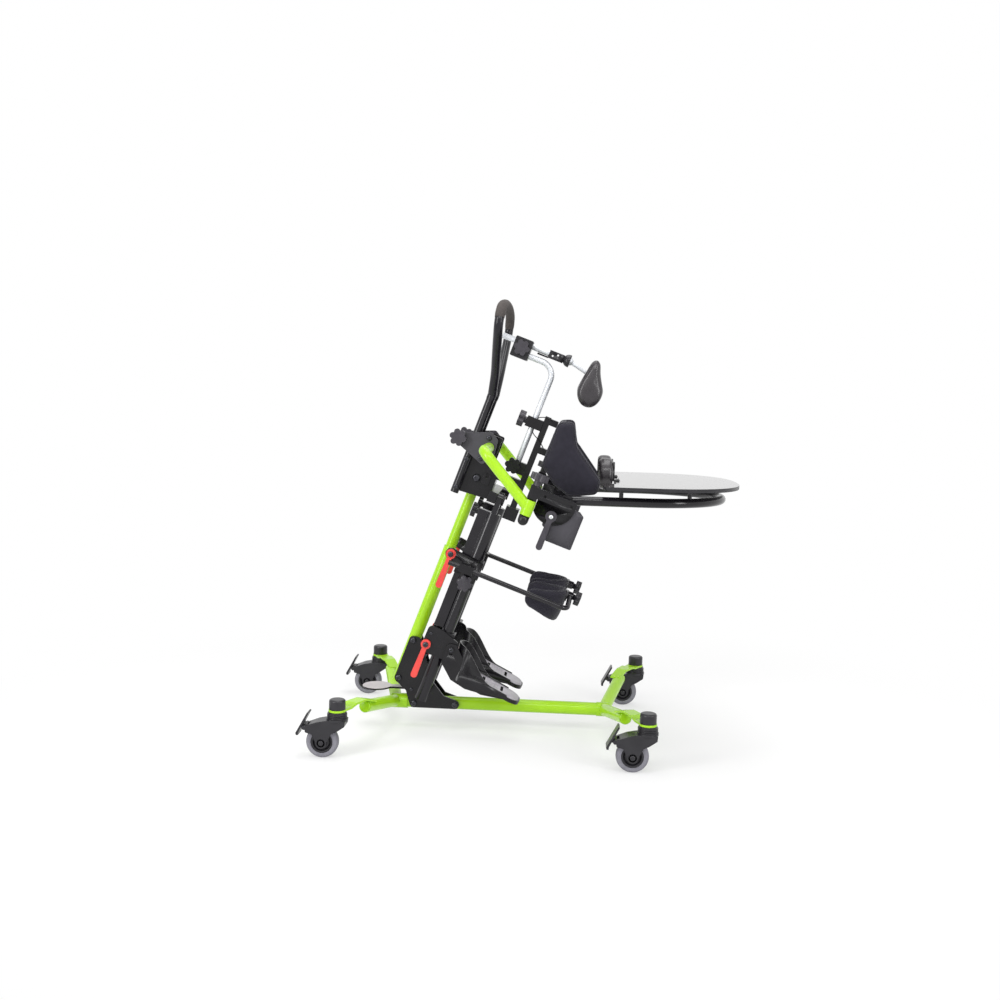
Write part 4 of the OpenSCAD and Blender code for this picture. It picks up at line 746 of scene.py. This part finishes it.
def seam_line(name, mesh, at, normal):
    """The line where a plane cuts a cover, as edges."""
    made = bmesh.new()
    made.from_mesh(mesh)
    cut = bmesh.ops.bisect_plane(made, geom=[*made.verts, *made.edges, *made.faces], plane_co=at,
                                 plane_no=normal, clear_inner=True, clear_outer=True)
    line = bpy.data.meshes.new(name)
    kept = bmesh.new()
    twin = {}
    for edge in (e for e in cut["geom_cut"] if isinstance(e, bmesh.types.BMEdge)):
        pair = []
        for v in edge.verts:
            key = tuple(round(c, 6) for c in v.co)
            if key not in twin:
                twin[key] = kept.verts.new(v.co)
            pair.append(twin[key])
        if pair[0] is not pair[1] and not kept.edges.get(pair):
            kept.edges.new(pair)
    made.free()
    kept.to_mesh(line)
    kept.free()
    return line


def mirrored(mesh, name):
    """The same cover for the other side."""
    twin = mesh.copy()
    twin.name = name
    twin.transform(Matrix.Scale(-1, 4, (0, 1, 0)))
    twin.flip_normals()
    return twin


def upholstered(name, mesh, finish, body, slot, *nodes, fill):
    """A padded piece from a finished cover, in place of nodes of the frame. Its fill is not used.
    """
    mesh.name = name
    mesh.materials.clear()
    mesh.materials.append(finish)
    mesh.shade_smooth()
    done = bpy.data.objects.new(name, mesh)
    scene.collection.objects.link(done)
    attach(done, body)
    if nodes:
        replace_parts(done, *nodes)


zero = leaning(0, 0, 0)
lean_ahead, lean_up = leaning(1000, 0, 0) - zero, leaning(0, 0, 1000) - zero


def on_column(point):
    """How far a point lies ahead of the column's axis and up along it, in millimetres."""
    at = point - zero
    return at.dot(lean_ahead) * 1000, at.dot(lean_up) * 1000


back_shell_v, back_seam_at = 141.5, (150, 0, 826)
wing_shell_y, wing_seams_y = -0.127, (-0.1475, -0.130)
back_cord_r, edge_cord_r = 0.0012, 0.0011
back = stuffed("back_pad_cover", copied("back_pad", lambda f: True), voxel=0.0045, start=0.001,
               cap=0.005, held=lambda p: on_column(p)[0] < back_shell_v)
line = seam_line("back_seam", back, leaning(*back_seam_at), lean_ahead)
pulled_in(back, line, depth=0.0014, width=0.003)
upholstered("back_cushion", back, knit, "frame", "navy_cover", "back_pad", fill=0.8)
piped("back_piping", line, back_cord_r, "frame")

wing = stuffed("hip_wing_cover", copied("hip_wings", lambda f: f.calc_center_median().y < 0),
               voxel=0.0042, start=0.0008, cap=0.004, held=lambda p: p.y > wing_shell_y)
seams = [seam_line("wing_seam", wing, (0, y, 0), (0, 1, 0)) for y in wing_seams_y]
for line in seams:
    pulled_in(wing, line, depth=0.0014, width=0.0026)
other = mirrored(wing, "hip_wing_cover_left")
for side, cover in (("right", wing), ("left", other)):
    nodes = ["hip_wings"] if side == "right" else []
    upholstered("hip_wing_" + side, cover, knit, "frame", "navy_cover", *nodes, fill=0.8)
    for count, line in enumerate(seams):
        seam = line if side == "right" else mirrored(line, "wing_seam_left")
        piped(f"wing_piping_{side}_{count}", seam, edge_cord_r, "frame")

# Tray arms' ends: steel posts in the arms' collars with square tubes, half-round quadrants and
# guard plates. Each clamping lever turns on the quadrant's pin, under a bright plated cap nut.
guard_near, guard_far, guard_face = 0.2118, 0.21505, 0.2149


def is_guard(f):
    """True on the guard plates, which lie flat against the quadrants' inner faces."""
    y = f.calc_center_median().y
    of_quadrant = abs(y) > guard_face and f.normal.y * y < 0
    return guard_near < abs(y) < guard_far and not of_quadrant


made = copied("tray_brackets", lambda f: not is_guard(f))
tubes = piece("bracket_tubes", made, black_coat, "arms")
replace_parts(tubes, "tray_brackets")
# The guard plates take the same satin black, painted lighter as painted light.
piece("guard_plates", copied("tray_brackets", is_guard), lit_satin_coat, "arms")
coat(knob_nylon, "tray_lever_right", "tray_lever_left")
# Zinc plating: a clean, pale metal that mirrors the panels in small bright spots
zinc = textured("zinc-plated steel", "#dfe1e4", {"Metallic": 1.0},
                tones=("#d8dade", "#e6e8ea"), rough=(0.18, 0.3), patch=8,
                grit=1.0, depth=0.02, edge=0.5)
sides = (("right", -1), ("left", 1))
pin_v, pin_y, pin_u = 201, 233.2, 678
nut = rounded([(0, 0.0075), (0.0036, 0.0072), (0.0058, 0.0045), (0.0062, 0), (0, 0)], 0.0016)
for side, s in sides:
    made = turned(nut, leaning(pin_v, s * pin_y, pin_u), (0, s, 0), steps=32)
    piece("lever_cap_" + side, made, zinc, "arms")

# Tray: a bent steel tube carries a cut sheet of black ABS on low stands.
# The sheet's top is pebbled and glossy, so that it shows pale at a low angle.
coat(gloss_coat, "tray_tube")
sheet_abs = textured("pebbled ABS sheet", "#2a2728",
                     {"Specular IOR Level": 0.5, "Coat Weight": 0.72, "Coat Roughness": 0.06},
                     tones=("#272425", "#302c2d"), rough=(0.16, 0.24), patch=20,
                     grit=3.0, depth=0.03, edge=1.5, detail=3.0)
top_facing = 0.7
made = copied("tray_board", lambda f: f.normal.z > top_facing)
sheet = piece("tray_sheet", made, sheet_abs, "tray")
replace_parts(sheet, "tray_board")
made = copied("tray_board", lambda f: f.normal.z <= top_facing)
piece("tray_edge", made, nylon, "tray")

# Chest pads: round foam rolls, screwed to drilled angle plates on the tray's edge.
# The foam is moulded in its own closed skin, which shines softly over a smooth crown.
skin_foam = textured("integral-skin foam", "#272327",
                     {"Specular IOR Level": 0.4, "Coat Weight": 0.45, "Coat Roughness": 0.2},
                     tones=("#242024", "#2c282c"), rough=(0.36, 0.46), patch=20,
                     grit=1.6, depth=0.02, edge=1.0, detail=3.0)
roll_r, roll_l, plate_reach = 0.0375, 0.034, 0.0163
roll_x, roll_y, roll_z = 0.2277, 0.07, 0.6595
roll = rounded([(0, 0), (roll_r, 0), (roll_r, roll_l), (0, roll_l)], 0.013, steps=6)
plate_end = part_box("chest_pads")[1].x - plate_reach
made = copied("chest_pads", lambda f: f.calc_center_median().x > plate_end)
piece("chest_plates", made, black_coat, "tray")
for side, s in sides:
    cover = bpy.data.meshes.new("chest_roll_" + side)
    made = turned(roll, (middle_x + roll_x, s * roll_y, roll_z), (1, 0, 0), steps=64)
    made.to_mesh(cover)
    made.free()
    nodes = ["chest_pads"] if side == "right" else []
    upholstered("chest_roll_" + side, cover, skin_foam, "tray", "moulded_pad", *nodes, fill=0.9)

# Head support: two aluminium rods in a nylon block, and a drilled link that ends in a ball cup.
# The rods are anodised, pale and even, without a mirror's shine.
anodised = textured("anodised aluminium", "#dcdee2", {"Metallic": 0.55},
                    tones=("#d6d9de", "#e2e4e8"), rough=(0.42, 0.52), patch=60,
                    grit=4.0, depth=0.01, edge=0.3)
coat(anodised, "head_post")
coat(nylon, "head_block")
rod_end_v, rod_low_u = 51.9, 1017.2


def link_end(f):
    """True on the drilled link and its tab, ahead of the rod and below it."""
    v, u = on_column(f.calc_center_median())
    return v > rod_end_v or u < rod_low_u


made = copied("head_rod", lambda f: not link_end(f))
rod = piece("head_slide_rod", made, anodised, "head_rod")
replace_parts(rod, "head_rod")
piece("head_link", copied("head_rod", link_end), nylon, "head_rod")

# Head pad: foam moulded in its own skin round a plate, on a short bright stem from the ball.
# Its side view is a drop, thicker below, with round ends across.
ball = leaning(103.6, 0, 1025)
stem_tip = ball + Vector((0.047, 0, -0.030))
stem_profile = rounded([(0, -0.011), (0.0078, -0.0078), (0.011, 0), (0.0078, 0.0078),
                        (0.0046, 0.0102), (0.0046, 0.0556), (0, 0.0556)], 0.004)
made = turned(stem_profile, ball, stem_tip - ball, steps=32)
piece("head_stem", made, anodised, "head_pad", smooth=50)
pad_x, pad_z, pad_half_t, pad_half_w, pad_edge, rim_steps = 200, 862, 30, 85, 14, 4
side_view = [(216, 931), (223, 922), (223.5, 898), (227, 875), (231, 853), (226, 834), (214, 820),
             (198, 815), (181, 822), (172, 836), (170, 856), (179, 877), (193, 903), (207, 927)]
rim = smooth_path(side_view[-1:] + side_view + side_view[:2], rim_steps)
rim = rim[rim_steps : rim_steps * (len(side_view) + 1)]
made = bmesh.new()
rings = []
end_turns = [math.sin(math.radians(15 * k)) for k in range(7)]
across = [pad_half_w - pad_edge + pad_edge * t for t in end_turns]
for y in [-y for y in reversed(across)] + [-48, -24, 0, 24, 48] + across:
    past = max(0, (abs(y) - pad_half_w + pad_edge) / pad_edge)
    share = 1 - pad_edge / pad_half_t * (1 - math.sqrt(max(0, 1 - past * past)))
    rings.append([made.verts.new(((pad_x + (x - pad_x) * share) / 1000 + middle_x, y / 1000,
                                  (pad_z + (z - pad_z) * share) / 1000)) for x, z in rim])
skinned(made, rings)
head_cover = stuffed("head_pad_form", made, voxel=0.004, start=0.0005, cap=0.002,
                     held=lambda p: False)
upholstered("head_cushion", head_cover, skin_foam, "head_pad", "moulded_pad", "head_pad",
            fill=0.95)

# Legs: steel tubes with a larger sleeve above and a rail behind, hung from the hip beam.
# Clamps on the tubes carry the knee rods and the foot brackets, and each knee clamp has
# a grip knob on its outer face.
knob_face, knob_v, knob_u, knob_r = 0.10305, 70, 438, 21.2


def clamp_knob(f):
    """True on the grip knob of a knee clamp."""
    middle = f.calc_center_median()
    v, u = on_column(middle)
    return abs(middle.y) > knob_face and math.hypot(v - knob_v, u - knob_u) < knob_r


for side, _ in sides:
    clamp = "knee_clamp_" + side
    coat(gloss_coat, "leg_post_" + side, "knee_rod_" + side)
    coat(black_coat, "foot_bracket_" + side)
    made = copied(clamp, lambda f: not clamp_knob(f))
    body = piece("knee_clamp_body_" + side, made, black_coat, clamp)
    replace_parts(body, clamp)
    made = copied(clamp, clamp_knob)
    piece("knee_clamp_knob_" + side, made, knob_nylon, clamp)

# Clamp levers: flat levers moulded in red-dyed nylon, each turning under a black screw.
# The nylon is smooth enough to shine along its rounded edges.
red_nylon = textured("red moulded nylon", "#dc3f38",
                     {"Specular IOR Level": 0.5, "Coat Weight": 0.2, "Coat Roughness": 0.2},
                     tones=("#d93b35", "#e2453d"), rough=(0.3, 0.42), patch=30,
                     grit=2.0, depth=0.04, edge=1.6)
lever_y, lever_screw = 112.4, 0.85
for side, s in sides:
    coat(red_nylon, "knee_lever_" + side, "foot_lever_" + side)
    for lever, v, u in (("knee_lever", 13, 491), ("foot_lever", 36.5, 262)):
        screw_row(f"{lever}_screw_{side}", [(leaning(v, s * lever_y, u), (0, s, 0), lever_screw)],
                  f"{lever}_{side}")

# Knee pads: padded cups in the same knitted cover, with two piped seams along the top.
# Each is fixed by a plate, a shaft and a knob in front.
cup_front_v, cup_held_v = 310.5, 306
for side, _ in sides:
    made = copied("knee_pad_" + side,
                  lambda f: max(on_column(v.co)[0] for v in f.verts) > cup_front_v)
    piece("knee_mount_" + side, made, nylon, "knee_pad_" + side)

cup_y, cup_u, cup_half_t, cup_sides, cup_square = -80, 471, 10.5, 28, 0.75
end_share, end_steps = 0.35, 3
half_cup = [(214, 49, 22), (250, 49, 29), (281, 40, 37), (299, 15, 42)]
cup_line = smooth_path(half_cup + [(v, -y, h) for v, y, h in reversed(half_cup)], steps=6)
cup_last = len(cup_line) - 1


def cup_point(i, wide, high):
    """A point off the cup's line, so far out of it and above its middle, in millimetres."""
    run = cup_line[min(i + 1, cup_last)] - cup_line[max(i - 1, 0)]
    out = np.array((-run[1], run[0])) / np.hypot(run[0], run[1])
    v, y, _ = cup_line[i]
    return leaning(v + out[0] * wide, cup_y + y + out[1] * wide, cup_u + high)


def squarish(turn):
    """A sine or cosine drawn out, so that a ring of points is between round and square."""
    return math.copysign(abs(turn) ** cup_square, turn)


def laid_line(name, mesh, points):
    """A line of points laid on a cover, as edges."""
    made = bmesh.new()
    made.from_mesh(mesh)
    cover = BVHTree.FromBMesh(made)
    made.free()
    spots = [cover.find_nearest(Vector(p))[0] for p in points]
    line = bpy.data.meshes.new(name)
    line.from_pydata(spots, [(i, i + 1) for i in range(len(spots) - 1)], [])
    return line


made = bmesh.new()
rings = []
for i, (_, _, half_h) in enumerate(cup_line):
    close = min(1, end_share + (1 - end_share) * math.sqrt(min(i, cup_last - i) / end_steps))
    turns = [2 * math.pi * k / cup_sides for k in range(cup_sides)]
    rings.append([made.verts.new(cup_point(i, cup_half_t * close * squarish(math.cos(a)),
                                           half_h * close * squarish(math.sin(a))))
                  for a in turns])
skinned(made, rings)
knee = stuffed("knee_cup_cover", made, voxel=0.004, start=0.0008, cap=0.005,
               held=lambda p: on_column(p)[0] > cup_held_v)
seams = []
for slope in (math.radians(72), math.radians(108)):
    course = [tuple(cup_point(i, cup_half_t * math.cos(slope), cup_line[i][2] * math.sin(slope)))
              for i in range(2, cup_last - 1)]
    seams.append(laid_line("knee_seam", knee, smooth_path(course, steps=4)))
for line in seams:
    pulled_in(knee, line, depth=0.001, width=0.0026)
other = mirrored(knee, "knee_cup_left")
for side, cover in (("right", knee), ("left", other)):
    pad = "knee_pad_" + side
    upholstered("knee_cup_" + side, cover, knit, pad, "navy_cover", pad, fill=0.75)
    for count, line in enumerate(seams):
        seam = line if side == "right" else mirrored(line, "knee_seam_left")
        piped(f"knee_piping_{side}_{count}", seam, edge_cord_r, pad)

# Feet: black ABS soles with heel cups on steel brackets, with a slotted grey insert in each sole.
# The ABS is moulded smooth and glossy, so that the rims catch the light.
shell_abs = textured("glossy black ABS", "#151417", {"Specular IOR Level": 0.3},
                     tones=("#131215", "#1a191c"), rough=(0.18, 0.27), patch=40,
                     grit=3.0, depth=0.03, edge=1.7)
# Moulded rubber: pale grey and finely grained, the lightest part of the foot
insert_rubber = textured("grey moulded rubber", "#b2aeb5", {"Specular IOR Level": 0.45},
                         tones=("#aca8af", "#bab6bd"), rough=(0.34, 0.46), patch=20,
                         grit=1.6, depth=0.08, edge=0.8, detail=3.0)
sole_v, sole_u, sole_y, sole_pitch = 117, 235, 74, math.radians(7)
sole_l, heel_r, toe_r = 184, 39, 30
arm_near, arm_far, arm_foot = 29.2, 34.1, 3
insert_low, insert_top, insert_edge = 0.02, 2.45, 4.15


def foot_part(f):
    """Which part of a foot a face belongs to, by its place on the sole in millimetres."""
    middle = f.calc_center_median()
    v, u = on_column(middle)
    v, u, y = v - sole_v, u - sole_u, abs(middle.y) * 1000 - sole_y
    x = v * math.cos(sole_pitch) - u * math.sin(sole_pitch)
    h = v * math.sin(sole_pitch) + u * math.cos(sole_pitch)
    flat, upright = abs(f.normal.y) > 0.99, abs(f.normal.y) < 0.02
    if arm_near < y < arm_far and (flat or upright and h > arm_foot):
        return "arm"
    if x < heel_r:
        inset = heel_r - math.hypot(x - heel_r, y)
    elif x > sole_l - toe_r and abs(y) > heel_r - toe_r:
        inset = toe_r - math.hypot(x - sole_l + toe_r, abs(y) - heel_r + toe_r)
    else:
        inset = min(heel_r - abs(y), sole_l - x)
    return "insert" if insert_low < h < insert_top and inset > insert_edge else "shell"


ankle_y, bracket_y = 108.4, 103
for side, s in sides:
    foot, bracket, out = "foot_plate_" + side, "foot_bracket_" + side, (0, s, 0)
    made = copied(foot, lambda f: foot_part(f) == "shell")
    shell = piece("foot_shell_" + side, made, shell_abs, foot)
    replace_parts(shell, foot)
    made = copied(foot, lambda f: foot_part(f) == "arm")
    piece("foot_arm_" + side, made, black_coat, foot)
    made = copied(foot, lambda f: foot_part(f) == "insert")
    piece("foot_insert_" + side, made, insert_rubber, foot)
    screw_row("ankle_screw_" + side, [(leaning(99, s * ankle_y, 272), out, 0.72)], bracket)
    screw_row("bracket_screws_" + side, [(leaning(38.9, s * bracket_y, 290.2), out, 0.55),
                                         (leaning(45.2, s * bracket_y, 235.5), out, 0.5)], bracket)
